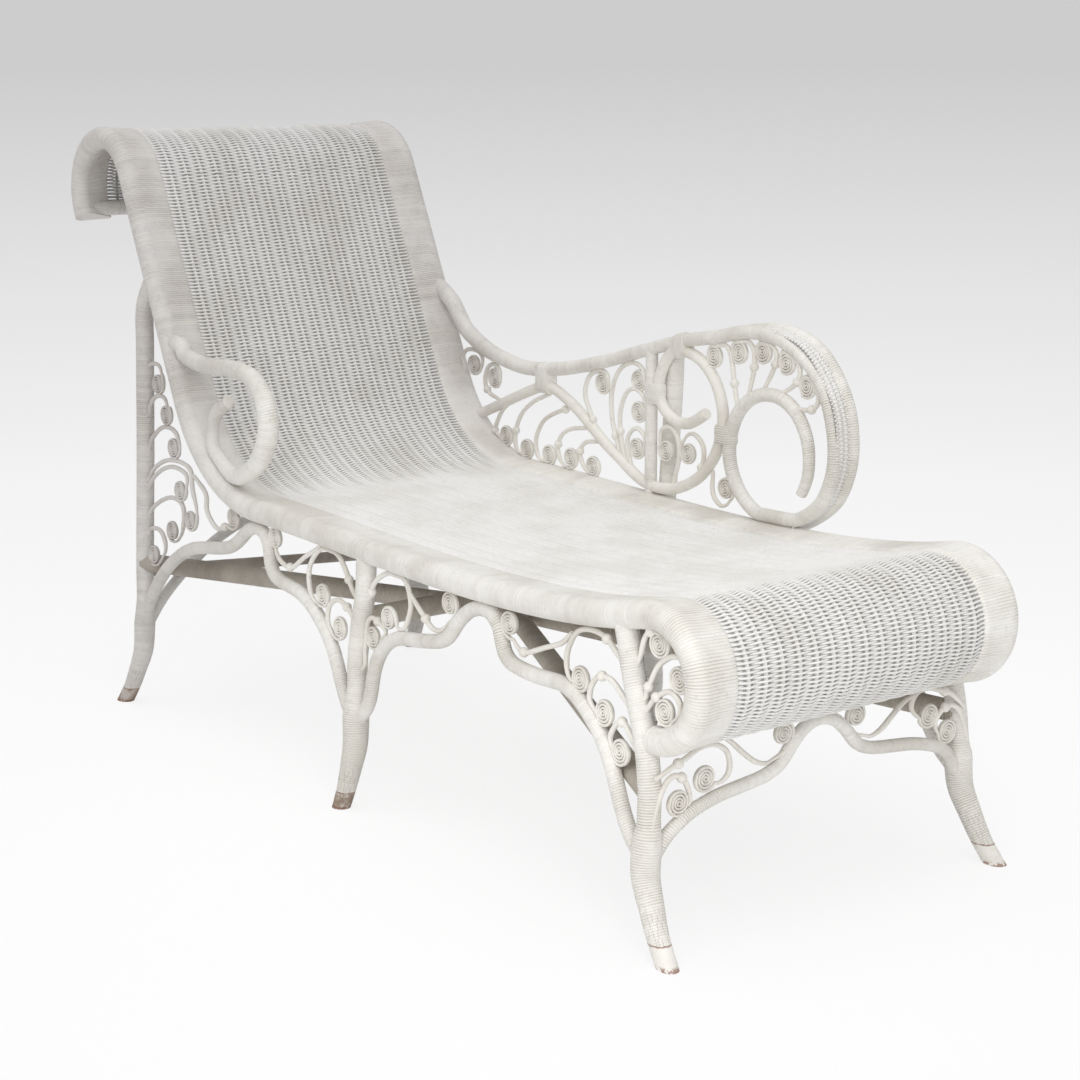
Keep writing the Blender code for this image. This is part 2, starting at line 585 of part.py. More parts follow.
# in radii of the foot roll, from its centre
ROLL_CURLS = (
    ((0.07, 0.57), ((0.26, 0.65), (0.11, 0.78), (-0.12, 0.76), (-0.29, 0.57), (-0.38, 0.28), (-0.50, 0.05))),
    ((0.57, 0.11), ((0.78, 0.11), (0.80, 0.30), (0.66, 0.43), (0.38, 0.43), (0.07, 0.23), (-0.11, -0.06),
                    (-0.26, -0.36), (-0.33, -0.52))),
    ((0.25, -0.48), ((0.44, -0.61), (0.58, -0.41), (0.55, -0.23), (0.32, -0.14), (0.03, -0.29), (-0.15, -0.49),
                     (-0.28, -0.72))),
)
# fractions of the half width and of the front bow's height
APRON_CURLS = {
    "near": (
        ((-0.86, 0.726), ((-0.82, 0.70), (-0.80, 0.75), (-0.84, 0.85), (-0.90, 0.89), (-0.96, 0.85), (-1.0, 0.74),
                          (-1.02, 0.62))),
        ((-0.72, 0.838), ((-0.66, 0.80), (-0.61, 0.80), (-0.57, 0.85), (-0.59, 0.945), (-0.67, 1.0), (-0.76, 1.0),
                          (-0.85, 0.96), (-0.93, 0.93), (-1.02, 0.89))),
        ((-0.235, 0.966), ((-0.31, 0.84), (-0.40, 0.85), (-0.48, 0.91), (-0.56, 0.985))),
    ),
    "far": (
        ((0.74, 0.865), ((0.68, 0.86), (0.62, 0.93), (0.65, 1.0), (0.73, 1.02), (0.82, 0.99), (0.91, 0.95), (1.0, 0.86))),
        ((0.87, 0.75), ((0.81, 0.75), (0.79, 0.81), (0.83, 0.87), (0.90, 0.89), (0.96, 0.85), (1.0, 0.74), (1.02, 0.62))),
        ((0.235, 0.966), ((0.31, 0.84), (0.40, 0.85), (0.48, 0.91), (0.56, 0.97), (0.64, 1.0))),
    ),
}
# in the long arm's own fractions
ARM_CURLS = {
    "rear": (
        ((0.088, 0.55), ((0.108, 0.53), (0.112, 0.60), (0.094, 0.63), (0.064, 0.62), (0.048, 0.55), (0.047, 0.50),
                         (0.047, 0.44))),
        ((0.149, 0.50), ((0.161, 0.46), (0.164, 0.53), (0.150, 0.57), (0.129, 0.55), (0.120, 0.47), (0.131, 0.41),
                         (0.165, 0.38))),
    ),
    "fan": (
        ((0.180, 0.18), ((0.165, 0.12), (0.148, 0.15), (0.148, 0.21), (0.166, 0.31), (0.185, 0.36))),
        ((0.240, 0.14), ((0.229, 0.09), (0.209, 0.14), (0.209, 0.23), (0.226, 0.33), (0.260, 0.41), (0.307, 0.47))),
        ((0.302, 0.14), ((0.296, 0.09), (0.271, 0.12), (0.266, 0.21), (0.285, 0.31), (0.318, 0.37), (0.365, 0.42))),
        ((0.361, 0.15), ((0.351, 0.09), (0.332, 0.13), (0.326, 0.20), (0.340, 0.27), (0.369, 0.31), (0.415, 0.33))),
        ((0.420, 0.13), ((0.415, 0.08), (0.396, 0.12), (0.385, 0.19), (0.401, 0.25), (0.440, 0.27))),
    ),
    "middle": (
        ((0.445, 0.58), ((0.458, 0.56), (0.455, 0.63), (0.432, 0.64), (0.409, 0.60), (0.398, 0.51), (0.409, 0.43),
                         (0.430, 0.33))),
        ((0.536, 0.63), ((0.550, 0.62), (0.543, 0.69), (0.516, 0.71), (0.486, 0.66), (0.468, 0.55), (0.468, 0.42),
                         (0.479, 0.31), (0.494, 0.21))),
        ((0.536, 0.47), ((0.551, 0.48), (0.546, 0.55), (0.526, 0.58), (0.504, 0.55), (0.489, 0.44), (0.492, 0.31),
                         (0.503, 0.19))),
        ((0.532, 0.28), ((0.549, 0.29), (0.549, 0.35), (0.532, 0.38), (0.514, 0.35), (0.507, 0.28), (0.522, 0.16))),
    ),
    "post": (
        ((0.604, 0.30), ((0.588, 0.33), (0.592, 0.40), (0.614, 0.42), (0.631, 0.37), (0.634, 0.27), (0.620, 0.13))),
        ((0.656, 0.31), ((0.648, 0.38), (0.668, 0.41), (0.690, 0.36), (0.690, 0.27), (0.672, 0.18))),
    ),
    "crown": (
        ((0.712, 0.81), ((0.699, 0.79), (0.705, 0.86), (0.727, 0.88), (0.748, 0.84), (0.758, 0.70), (0.768, 0.56))),
        ((0.768, 0.85), ((0.755, 0.82), (0.756, 0.89), (0.776, 0.91), (0.798, 0.88), (0.801, 0.78), (0.789, 0.64))),
        ((0.820, 0.87), ((0.809, 0.84), (0.811, 0.905), (0.830, 0.915), (0.848, 0.87), (0.844, 0.80), (0.821, 0.68))),
        ((0.871, 0.84), ((0.861, 0.81), (0.860, 0.88), (0.879, 0.88), (0.896, 0.84), (0.897, 0.77), (0.881, 0.72),
                         (0.855, 0.68))),
        ((0.914, 0.74), ((0.904, 0.71), (0.903, 0.77), (0.922, 0.78), (0.937, 0.72), (0.935, 0.66), (0.919, 0.63),
                         (0.888, 0.63))),
    ),
    "foot": (
        ((0.747, 0.180), ((0.752, 0.115), (0.733, 0.085), (0.714, 0.14), (0.714, 0.25))),
    ),
}


class Curls:
    """A panel of reed curls that touch one another: the paths of the reeds and the centres of their coils."""

    def __init__(self, name, curls, flat, lift, guides, normal):
        # flat puts a curl's fractions in the panel's plane, lift puts the plane in place
        self.name = name
        self.normal = Vector(normal)
        self.paths = []
        self.coils = []
        shapes = []
        for coil, reed in curls:
            centre = off_guides(flat(*coil), guides, DISC_R)
            ends = smooth([centre] + [flat(*pair) for pair in reed], 3)
            path = [centre] + [off_guides(point, guides, REED_R) for point in ends[1:-3]] + ends[-3:]
            shapes.append([lift(point) for point in path])
            self.coils.append(lift(centre))
            self.paths.append(thinned(shapes[-1], REED_TOLERANCE))
        self.ties = tied_together(shapes)


def off_guides(point, guides, radius):
    for line, pole_radius in guides + guides:
        point = kept_off(point, line, pole_radius + radius - BITE)
    return point


def tied_together(shapes):
    # a coil is nailed to the reed or coil beside it, until all the curls hold together
    placed = [shapes[0]]
    waiting = shapes[1:]
    ties = []
    while waiting:
        best = None
        for shape in waiting:
            for other in placed:
                for coil, beside in ((shape[0], other), (other[0], shape)):
                    for point in beside[:-3]:
                        if best is None or (coil - point).length < best[0]:
                            best = ((coil - point).length, coil, point, shape)
        waiting = [shape for shape in waiting if shape is not best[3]]
        placed.append(best[3])
        if best[0] > DISC_R:
            ties.append([best[1], best[2]])
    return ties


def side_curls():
    rail = (RAIL, RAIL_R)
    posts = {place: ([Vector(p) for p in line], POST_R) for place, line in LEGS.items()}
    back_arch = (ARCHES["back"], ARCH_R)
    front_arch = (ARCHES["front"], ARCH_R)

    def behind_back(f, v):
        # above the seat the heights keep their place between it and the joint
        z = SEAT_Z * min(v, 1.0) + max(v - 1, 0.0) * (BACK_JOINT_Z - SEAT_Z) / 0.766
        post = leg_x("back", z)
        return Vector((post + f * (rail_at_height(z).x - post), z))

    def in_back_bay(u, v):
        return Vector((BACK_LEG_X + u * BAY, v * SEAT_Z))

    def in_front_bay(u, v):
        return Vector((MID_LEG_X + u * BAY, v * SEAT_Z))

    def in_roll(a, b):
        return Vector((ROLL_X + a * ROLL_R, ROLL_Z + b * ROLL_R))

    places = (("back", BACK_CURLS, behind_back, [rail, posts["back"], back_arch]),
              ("back_bay", BAY_CURLS["back_bay"], in_back_bay, [rail, posts["mid"], back_arch]),
              ("front_bay", BAY_CURLS["front_bay"], in_front_bay, [rail, posts["mid"], front_arch]),
              ("front_leg", BAY_CURLS["front_leg"], in_front_bay, [rail, posts["front"], front_arch]),
              ("foot_roll", ROLL_CURLS, in_roll, [rail, posts["front"]]))
    made = []
    for name, side in SIDES:
        def lift(point, side=side):
            return on_side(side, [point])[0] + Vector((0, side * CURL_STEP, 0))

        for part, curls, flat, guides in places:
            made.append(Curls(f"curls_{part}_{name}", curls, flat, lift, guides, (0, 1, 0)))
    return made


def apron_curls():
    guides = [(bow_line(FRONT_APRON_TOP, FRONT_APRON), ARCH_R)]

    def flat(s, v):
        z = v * FRONT_APRON_TOP
        return Vector((s * (HALF_WIDTH + lean(z)), z))

    def lift(point):
        return Vector((FRONT_LEG_X + APRON_STEP + CURL_STEP, point.x, point.y))

    return [Curls(f"curls_front_apron_{name}", APRON_CURLS[name], flat, lift, guides, (1, 0, 0)) for name, _ in SIDES]


def arm_curls():
    guides = [(RAIL, RAIL_R), (arm_run(ARM_TOP, LONG_ARM_R), LONG_ARM_R),
              (arm_run(ARM_LOWER, LOWER_SCROLL_R), LOWER_SCROLL_R)]

    def lift(point):
        return Vector((point.x, HALF_WIDTH + CURL_STEP, point.y))

    return [Curls(f"curls_arm_{part}", curls, arm_point, lift, guides, (0, 1, 0)) for part, curls in ARM_CURLS.items()]


# The woven surface

def offset_rail(rise):
    out = []
    for i, point in enumerate(RAIL):
        ahead = RAIL[min(i + 1, len(RAIL) - 1)] - RAIL[max(i - 1, 0)]
        ahead.normalize()
        out.append(point + Vector((-ahead.y, ahead.x)) * rise)
    return out


def weave_runs():
    # three stretches of one surface, cut where the weave changes
    past_bar = 1.5 * (TAIL_BAR_R + BITE)
    points = trimmed(offset_rail(WEAVE_RISE), past_bar * (1 + WEAVE_RISE / CREST_R), past_bar * (1 + WEAVE_RISE / ROLL_R))
    top = max(range(len(points)), key=lambda i: points[i].y)
    first = next(i for i in range(top, len(points)) if points[i].x > SEAT_START)
    second = next(i for i in range(first, len(points)) if points[i].x > SEAT_END)

    def split(i, x):
        a, b = points[i - 1], points[i]
        return a.lerp(b, (x - a.x) / (b.x - a.x))

    gap = FIT_GAP / 2
    return {
        "woven_back": points[:first] + [split(first, SEAT_START - gap)],
        "woven_seat": [split(first, SEAT_START + gap)] + points[first:second] + [split(second, SEAT_END - gap)],
        "woven_foot_roll": [split(second, SEAT_END + gap)] + points[second:],
    }


# Building

def clear_scene():
    for old in list(bpy.data.objects):
        bpy.data.objects.remove(old)


def collection(name):
    made = bpy.data.collections.new(name)
    bpy.context.scene.collection.children.link(made)
    return made


def material(name, colour, roughness):
    made = bpy.data.materials.new(name)
    made.use_nodes = True
    shader = made.node_tree.nodes["Principled BSDF"]
    shader.inputs["Base Color"].default_value = (*colour, 1.0)
    shader.inputs["Roughness"].default_value = roughness
    shader.inputs["Metallic"].default_value = 0.0
    return made


def curve_object(name, paths, roundness, into):
    # paths: a list of (points, radii), one spline for each
    thickest = max(max(radii) for _, radii in paths)
    curve = bpy.data.curves.new(name, "CURVE")
    curve.dimensions = "3D"
    curve.bevel_depth = thickest
    curve.bevel_resolution = roundness
    curve.use_fill_caps = True
    for points, radii in paths:
        spline = curve.splines.new("POLY")
        spline.points.add(len(points) - 1)
        for place, point, radius in zip(spline.points, points, radii):
            place.co = (*point, 1.0)
            place.radius = radius / thickest
    made = bpy.data.objects.new(name, curve)
    into.objects.link(made)
    return made


def to_meshes(curves):
    # one evaluation for all, then each curve gives way to its mesh
    bpy.context.view_layer.update()
    graph = bpy.context.evaluated_depsgraph_get()
    meshes = [bpy.data.meshes.new_from_object(curve.evaluated_get(graph)) for curve in curves]
    made = {}
    for curve, mesh in zip(curves, meshes):
        name = curve.name
        into = curve.users_collection[0]
        matrix = curve.matrix_world.copy()
        bpy.data.objects.remove(curve)
        shape = bmesh.new()
        shape.from_mesh(mesh)
        bmesh.ops.remove_doubles(shape, verts=shape.verts, dist=1e-5)
        bmesh.ops.recalc_face_normals(shape, faces=shape.faces)
        shape.to_mesh(mesh)
        shape.free()
        solid = bpy.data.objects.new(name, mesh)
        solid.matrix_world = matrix
        into.objects.link(solid)
        made[name] = solid
    return made


def finish(piece, look):
    piece.data.materials.clear()
    piece.data.materials.append(look)
    piece.data.shade_smooth()
    piece.data.set_sharp_from_angle(angle=math.radians(40))


def subtract(piece, cutter, with_self=False):
    cut = piece.modifiers.new(f"fit to {cutter.name}", "BOOLEAN")
    cut.operation = "DIFFERENCE"
    cut.solver = "EXACT"
    cut.object = cutter
    cut.use_self = with_self


def as_cutter(piece):
    piece.hide_render = True
    piece.display_type = "WIRE"


def mesh_object(name, shape, into):
    bmesh.ops.recalc_face_normals(shape, faces=shape.faces)
    mesh = bpy.data.meshes.new(name)
    shape.to_mesh(mesh)
    shape.free()
    made = bpy.data.objects.new(name, mesh)
    into.objects.link(made)
    return made


def ribbon(name, left, right, thickness, into, look):
    # an open strip between two edges, given its thickness by a Solidify
    shape = bmesh.new()
    rows = [(shape.verts.new(a), shape.verts.new(b)) for a, b in zip(left, right)]
    for a, b in zip(rows, rows[1:]):
        shape.faces.new((a[0], a[1], b[1], b[0]))
    sheet = mesh_object(name, shape, into)
    wall = sheet.modifiers.new("thickness", "SOLIDIFY")
    wall.thickness = thickness
    wall.offset = 0.0
    wall.use_even_offset = True
    finish(sheet, look)
    return sheet


def floor_cutter(into):
    shape = bmesh.new()
    bmesh.ops.create_cube(shape, size=1.0)
    bmesh.ops.scale(shape, vec=(2 * LENGTH, 4 * WIDTH, 0.1), verts=shape.verts)
    bmesh.ops.translate(shape, vec=(0, 0, -0.05), verts=shape.verts)
    floor = mesh_object("below_the_floor", shape, into)
    as_cutter(floor)
    return floor


def add_coils(piece, curls):
    # each coil is a short round disc facing the panel's normal
    shape = bmesh.new()
    shape.from_mesh(piece.data)
    turn = Vector((0, 0, 1)).rotation_difference(curls.normal).to_matrix().to_4x4()
    for centre in curls.coils:
        matrix = turn.copy()
        matrix.translation = centre
        bmesh.ops.create_cone(shape, cap_ends=True, segments=8, radius1=DISC_R, radius2=DISC_R, depth=DISC_T,
                              matrix=matrix)
    shape.to_mesh(piece.data)
    shape.free()


def build_model():
    clear_scene()
    into = collection("wicker_chaise_longue")
    cutters = collection("cutters")
    looks = {
        "wrap": material("cane_wrap_paint", (0.70, 0.69, 0.65), 0.55),
        "paint": material("pole_paint", (0.66, 0.65, 0.61), 0.50),
        "weave": material("woven_reed_paint", (0.62, 0.62, 0.59), 0.60),
        "curl": material("reed_paint", (0.68, 0.67, 0.64), 0.50),
        "shade": material("worn_paint", (0.52, 0.50, 0.46), 0.70),
    }
    floor = floor_cutter(cutters)

    # earlier poles cut later ones
    rails = side_rails()
    feet = legs()
    poles = rails + feet + side_arches() + bars() + aprons() + long_arm() + [short_arm()] + stretchers()
    curves = []
    for pole in poles:
        curves.append(curve_object(pole.name, [(pole.path, pole.radii)], pole.roundness, into))
        fat = [radius + FIT_GAP for radius in pole.radii]
        curves.append(curve_object(pole.name + "_clearance", [(pole.path, fat)], pole.roundness, cutters))
    panels = side_curls() + apron_curls() + arm_curls()
    for panel in panels:
        reeds = [(path, [REED_R] * len(path)) for path in panel.paths]
        nails = [(path, [0.7 * REED_R] * 2) for path in panel.ties]
        curves.append(curve_object(panel.name, reeds + nails, 0, into))
    solids = to_meshes(curves)

    for i, pole in enumerate(poles):
        piece = solids[pole.name]
        finish(piece, looks[pole.look])
        as_cutter(solids[pole.name + "_clearance"])
        if pole in feet:
            subtract(piece, floor)
        for other in poles[:i]:
            if other.comes_near(pole.path, pole.radii):
                subtract(piece, solids[other.name + "_clearance"])

    for panel in panels:
        piece = solids[panel.name]
        add_coils(piece, panel)
        finish(piece, looks["curl"])
        first = True
        for pole in poles:
            near = any(pole.comes_near(path, [REED_R] * len(path)) for path in panel.paths)
            near = near or any(pole.comes_near([coil, coil], [DISC_R, DISC_R]) for coil in panel.coils)
            if near:
                subtract(piece, solids[pole.name + "_clearance"], first)
                first = False

    # the weave ends against the rails' inner flanks
    flank = RAIL_R + FIT_GAP - (WEAVE_RISE - WEAVE_T / 2) * math.tan(math.radians(22.5))
    reach = HALF_WIDTH - flank - FIT_GAP / 3
    for name, run in weave_runs().items():
        sheet = ribbon(name, [(p.x, -reach, p.y) for p in run], [(p.x, reach, p.y) for p in run], WEAVE_T, into,
                       looks["weave"])
        for pole in poles[len(rails):]:
            for edge in (-reach, 0.0, reach):
                line = [Vector((p.x, edge, p.y)) for p in run]
                if pole.comes_near(line, [WEAVE_T / 2] * len(line)):
                    subtract(sheet, solids[pole.name + "_clearance"])
                    break

    bow = outer_rail_path()[5:21]
    strip = ribbon("arm_long_woven_strip", [(x, HALF_WIDTH + 0.6 * LONG_ARM_R, z) for x, _, z in bow],
                   [(x, y - 0.4 * OUTER_RAIL_R, z) for x, y, z in bow], ARM_STRIP_T, into, looks["weave"])
    subtract(strip, solids["arm_long_top_rail_clearance"])
    subtract(strip, solids["arm_long_outer_rail_clearance"])


build_model()
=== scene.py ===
# Wicker chaise longue: the looks. Paths repeat the part's own sizes, in metres, in the frame of the CAD.
import math
from functools import partial

import bmesh
import bpy
from mathutils import Matrix, Vector, kdtree, noise
from mathutils.geometry import intersect_point_line


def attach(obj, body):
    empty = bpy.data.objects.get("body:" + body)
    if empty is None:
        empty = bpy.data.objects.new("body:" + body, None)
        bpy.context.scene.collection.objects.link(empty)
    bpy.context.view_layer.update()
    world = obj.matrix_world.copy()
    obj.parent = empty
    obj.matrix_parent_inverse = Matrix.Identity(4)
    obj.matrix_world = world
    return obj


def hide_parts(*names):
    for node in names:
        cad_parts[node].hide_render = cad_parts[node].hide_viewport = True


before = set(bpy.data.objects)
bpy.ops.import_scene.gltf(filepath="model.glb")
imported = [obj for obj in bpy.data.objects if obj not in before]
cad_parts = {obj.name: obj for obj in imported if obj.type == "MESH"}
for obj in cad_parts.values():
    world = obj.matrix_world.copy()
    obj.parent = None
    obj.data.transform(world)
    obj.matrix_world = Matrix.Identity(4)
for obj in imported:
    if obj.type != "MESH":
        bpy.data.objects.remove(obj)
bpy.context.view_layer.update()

chaiseSize = {
    "length": 1.638,
    "height": 0.975,
    "width": 0.540,  # between the centre-lines of the two side rails
    "seatZ": 0.402,  # centre-line of the side rail where the back's bend runs into the seat
    "footHeight": 0.449,  # top of the rolled foot
    "fitGap": 0.0003,  # between pieces that touch
    "bite": 0.001,  # how deep a pole that lies on another is let into it
}
railSize = {
    "railR": 0.0185,
    "crestR": 0.092,
    "crestTail": 208.0,  # degrees round the crest where the rail ends
    "rake": 25.0,  # degrees of the back from upright
    "bendR": 0.240,  # back into seat
    "seatEase": 0.285,  # how long the seat runs level at its back end
    "footEase": 0.270,  # how long it takes to rise at its foot end
    "rollR": 0.079,
    "rollStart": 103.0,
    "tailGap": 0.002,  # from the front post's face to the rail's end
    "turnStep": 14,  # degrees between points of the crest and the roll
    "bendStep": 9,
    "backSpans": 18,
    "seatSpans": 34,
}
weaveSize = {
    "weaveT": 0.008,
    "weaveRise": 0.010,  # the weave's mid-surface above the rails' centre-line
    "seatStart": -0.245,  # where the woven back ends and the woven seat begins
    "seatEnd": 0.630,  # where the woven seat ends and the foot roll begins
}
legSize = {
    "backLegX": -0.611,
    "frontLegX": 0.720,
    "crotchZ": 0.145,  # where post and arches run together
    "toeSplay": 0.027,
    "backKick": 0.052,
    "midKick": 0.45,  # of the back leg's
    "frontKick": 0.058,
    "postR": 0.0150,
    "legR": 0.0200,
    "backLegR": 0.0180,
    "toeR": 0.0135,
    "backJointZ": 0.710,  # where the back post meets the back rail
    "jointRise": 0.030,  # how much higher it ends inside the rail
    "jointClear": 0.018,  # and how far behind the rail it stands just below
    "frontPostLean": 0.0165,  # the front post's centre behind the leg's, level with the roll's underside
}
barSize = {
    "archR": 0.0105,
    "apronR": 0.0090,
    "barR": 0.012,
    "tailBarR": 0.0125,
    "tailBarGap": 0.0015,  # off the rails' end faces
    "stretcherR": 0.0155,
    "backBraceZ": 0.250,  # the braces' centres at the corner legs
    "frontBraceZ": 0.207,
    "crossStretcherZ": 0.291,
    "backStretcherZ": 0.235,  # at the near leg; it slopes down towards the far one
    "backStretcherDrop": 0.040,
    "backStretcherR": 0.0100,
    "apronStep": 0.011,  # the end aprons stand this far outside the legs' centres
    "backApronTop": 0.305,
}
armSize = {
    "longArmR": 0.0105,
    "longArmRearR": 0.0150,  # it thins from here over the first part of its run
    "longArmTaper": 0.22,
    "longArmTail": 10,  # points over which its ring thins, by this share at each
    "longArmThins": 0.025,
    "longArmHeight": 0.314,
    "longArmReach": 1.000,
    "longArmBack": -0.500,
    "outerRailR": 0.010,
    "outerRailStep": 0.029,
    "lowerScrollR": 0.0090,
    "armPostR": 0.0098,
    "armOuterPostR": 0.0145,
    "postsAt": (0.567, 0.598, 0.583),  # in the arm's fractions: inner post, outer post's top and foot
    "outerPostStand": 0.024,  # outside the rails' centre-line
    "shortArmR": 0.0135,
    "shortArmBowR": 0.0165,
    "shortArmTailR": 0.0105,
    "shortArmHeight": 0.246,
    "shortArmReach": 0.316,
    "shortArmBack": -0.513,
}

seatZ = chaiseSize["seatZ"]
bite = chaiseSize["bite"]
railR = railSize["railR"]
crestR = railSize["crestR"]
rollR = railSize["rollR"]
weaveRise = weaveSize["weaveRise"]
backLegX = legSize["backLegX"]
frontLegX = legSize["frontLegX"]
crotchZ = legSize["crotchZ"]
postR = legSize["postR"]
archR = barSize["archR"]
tailBarR = barSize["tailBarR"]
longArmR = armSize["longArmR"]

midLegX = (backLegX + frontLegX) / 2
bay = frontLegX - midLegX
halfWidth = chaiseSize["width"] / 2
crestX = -chaiseSize["length"] / 2 + railR + crestR
crestZ = chaiseSize["height"] - railR - crestR
rollX = chaiseSize["length"] / 2 - railR - rollR
rollZ = chaiseSize["footHeight"] - railR - rollR
bendZ = seatZ + railSize["bendR"]
bothSides = (("near", -1), ("far", 1))


# Plane curves

def pairs(*numbers):
    return list(zip(numbers[::2], numbers[1::2]))


def onCircle(centreX, centreZ, radius, degrees):
    angle = math.radians(degrees)
    return Vector((centreX + radius * math.cos(angle), centreZ + radius * math.sin(angle)))


def arc(centreX, centreZ, radius, start, end, step):
    count = max(2, math.ceil(abs(end - start) / step))
    return [onCircle(centreX, centreZ, radius, start + (end - start) * i / count) for i in range(count + 1)]


def runsOfFour(points):
    ends = [2 * points[0] - points[1]] + points + [2 * points[-1] - points[-2]]
    return zip(ends, ends[1:], ends[2:], ends[3:])


def throughFour(a, b, c, d, t):
    # a Catmull-Rom curve, between b and c
    bend = (2 * a - 5 * b + 4 * c - d) * t ** 2 + (3 * b - a - 3 * c + d) * t ** 3
    return 0.5 * (2 * b + (c - a) * t + bend)


def smooth(points, spans):
    points = [Vector(p) for p in points]
    return [throughFour(*four, k / spans) for four in runsOfFour(points) for k in range(spans)] + [points[-1]]


def bezier(a, b, c, d, count):
    out = []
    for i in range(count + 1):
        t = i / count
        s = 1 - t
        out.append(a * s ** 3 + 3 * b * s * s * t + 3 * c * s * t * t + d * t ** 3)
    return out


def heading(line, i):
    return (line[min(i + 1, len(line) - 1)] - line[max(i - 1, 0)]).normalized()


def trimmed(points, fromStart, fromEnd):
    # the same run with a length taken off each end
    for cut in (fromStart, fromEnd):
        left = cut
        while len(points) > 2 and (points[1] - points[0]).length <= left:
            left -= (points[1] - points[0]).length
            points = points[1:]
        points = [points[0].lerp(points[1], left / (points[1] - points[0]).length)] + points[1:]
        points = points[::-1]
    return points


# The side rail's centre-line in the XZ plane, from the crest's tail to the foot roll's tail

def rollTail():
    # the rail ends against the front post
    postFace = frontLegX - legSize["frontPostLean"] + postR + railSize["tailGap"]
    return -math.degrees(math.acos(max(-1.0, min(1.0, (postFace - rollX) / rollR))))


def railOutline():
    rake = math.radians(railSize["rake"])
    leave = onCircle(crestX, crestZ, crestR, railSize["rake"])
    front = Vector((math.cos(rake), math.sin(rake)))
    bendX = (leave.dot(front) + railSize["bendR"] - bendZ * math.sin(rake)) / math.cos(rake)
    crest = arc(crestX, crestZ, crestR, railSize["crestTail"], railSize["rake"], railSize["turnStep"])
    bend = arc(bendX, bendZ, railSize["bendR"], 180 + railSize["rake"], 270, railSize["bendStep"])
    back = [leave.lerp(bend[0], k / railSize["backSpans"]) for k in range(1, railSize["backSpans"])]
    roll = arc(rollX, rollZ, rollR, railSize["rollStart"], rollTail(), railSize["turnStep"])
    rise = math.radians(railSize["rollStart"] - 90)
    upToRoll = roll[0] - Vector((math.cos(rise), math.sin(rise))) * railSize["footEase"]
    level = bend[-1] + Vector((railSize["seatEase"], 0))
    seat = bezier(bend[-1], level, upToRoll, roll[0], railSize["seatSpans"])
    return crest + back + bend + seat[1:-1] + roll


railLine = railOutline()
railTop = max(range(len(railLine)), key=lambda i: railLine[i].y)


def alongRail(coordinate, value):
    # the rail's centre where its x (0) or z (1) first passes the value, down the back and along the seat
    for a, b in zip(railLine[railTop:], railLine[railTop + 1:]):
        low, high = sorted((a[coordinate], b[coordinate]))
        if low <= value <= high and high > low:
            return a.lerp(b, (value - a[coordinate]) / (b[coordinate] - a[coordinate]))
    return railLine[-1]


def railAtHeight(z):
    return alongRail(1, max(z, seatZ + 0.002))


def railAtX(x):
    return alongRail(0, x)


def keptOff(point, line, reach):
    # what lies against a pole is kept this far from the pole's centre-line
    nearest = None
    for a, b in zip(line, line[1:]):
        foot, t = intersect_point_line(point, a, b)
        foot = a.lerp(b, max(0.0, min(1.0, t)))
        if nearest is None or (point - foot).length < (point - nearest).length:
            nearest = foot
    away = point - nearest
    if away.length >= reach or away.length < 1e-6:
        return point
    return nearest + away.normalized() * reach


def lean(z):
    # the legs and all that stands in their plane spread towards the floor
    return legSize["toeSplay"] * max(0.0, 1 - z / seatZ) ** 2


def onSide(side, points):
    return [Vector((x, side * (halfWidth + lean(z)), z)) for x, z in points]


# Legs: the post from the rail down, the crotch, and the toe, which runs past the floor until it is cut flat

# steps from the leg's own centre, and shares of the seat's height
postSteps = {
    "back": ((-0.004, 0.63),),
    "mid": ((0.015, 0.82), (0.005, 0.71), (-0.002, 0.56)),
    "front": ((-0.054, 0.98), (-0.040, 0.85)),
}
# shares of the crotch's height and of the kick
toeSteps = ((0.70, 0.0), (0.45, 0.28), (0.20, 0.62), (0.0, 1.0), (-0.09, 1.2))


def legLine(place, x, above, below, kick, sway):
    steps = [(x + step, share * seatZ) for step, share in postSteps[place]]
    toe = [(x + sway + k * kick, v * crotchZ) for v, k in toeSteps]
    return above + steps + below + [(x, crotchZ)] + toe


def legLines():
    jointZ = legSize["backJointZ"]
    clear = railAtHeight(jointZ).x - railR - postR - legSize["jointClear"]
    behind = [tuple(railAtHeight(jointZ + legSize["jointRise"])), (clear, jointZ - 0.025),
              (0.75 * clear + 0.25 * backLegX, 1.53 * seatZ), (0.25 * clear + 0.75 * backLegX, 1.11 * seatZ)]
    low = rollZ - rollR
    underRoll = [(frontLegX - legSize["frontPostLean"], low), (frontLegX - 0.004, 0.80 * low),
                 (frontLegX, 1.15 * crotchZ)]
    kick = legSize["backKick"]
    return {
        "back": legLine("back", backLegX, behind, [(backLegX, 1.30 * crotchZ)], -kick, 0.0),
        "mid": legLine("mid", midLegX, [tuple(railAtX(midLegX + 0.020))], [(midLegX, 1.30 * crotchZ)],
                       -legSize["midKick"] * kick, 0.003),
        "front": legLine("front", frontLegX, [tuple(railAtX(frontLegX - 0.062))], underRoll,
                         legSize["frontKick"], 0.002),
    }


legPaths = legLines()


def legX(place, z):
    for (xa, za), (xb, zb) in zip(legPaths[place], legPaths[place][1:]):
        if zb <= z <= za:
            return xa + (xb - xa) * (za - z) / (za - zb)
    return legPaths[place][0][0]


# Poles as lines: a name, a path, a radius at each point and a look

def pole(name, path, radius, look):
    points = [Vector(p) for p in path]
    radii = list(radius) if isinstance(radius, list) else [radius] * len(points)
    return {"name": name, "path": points, "radii": radii, "look": look}


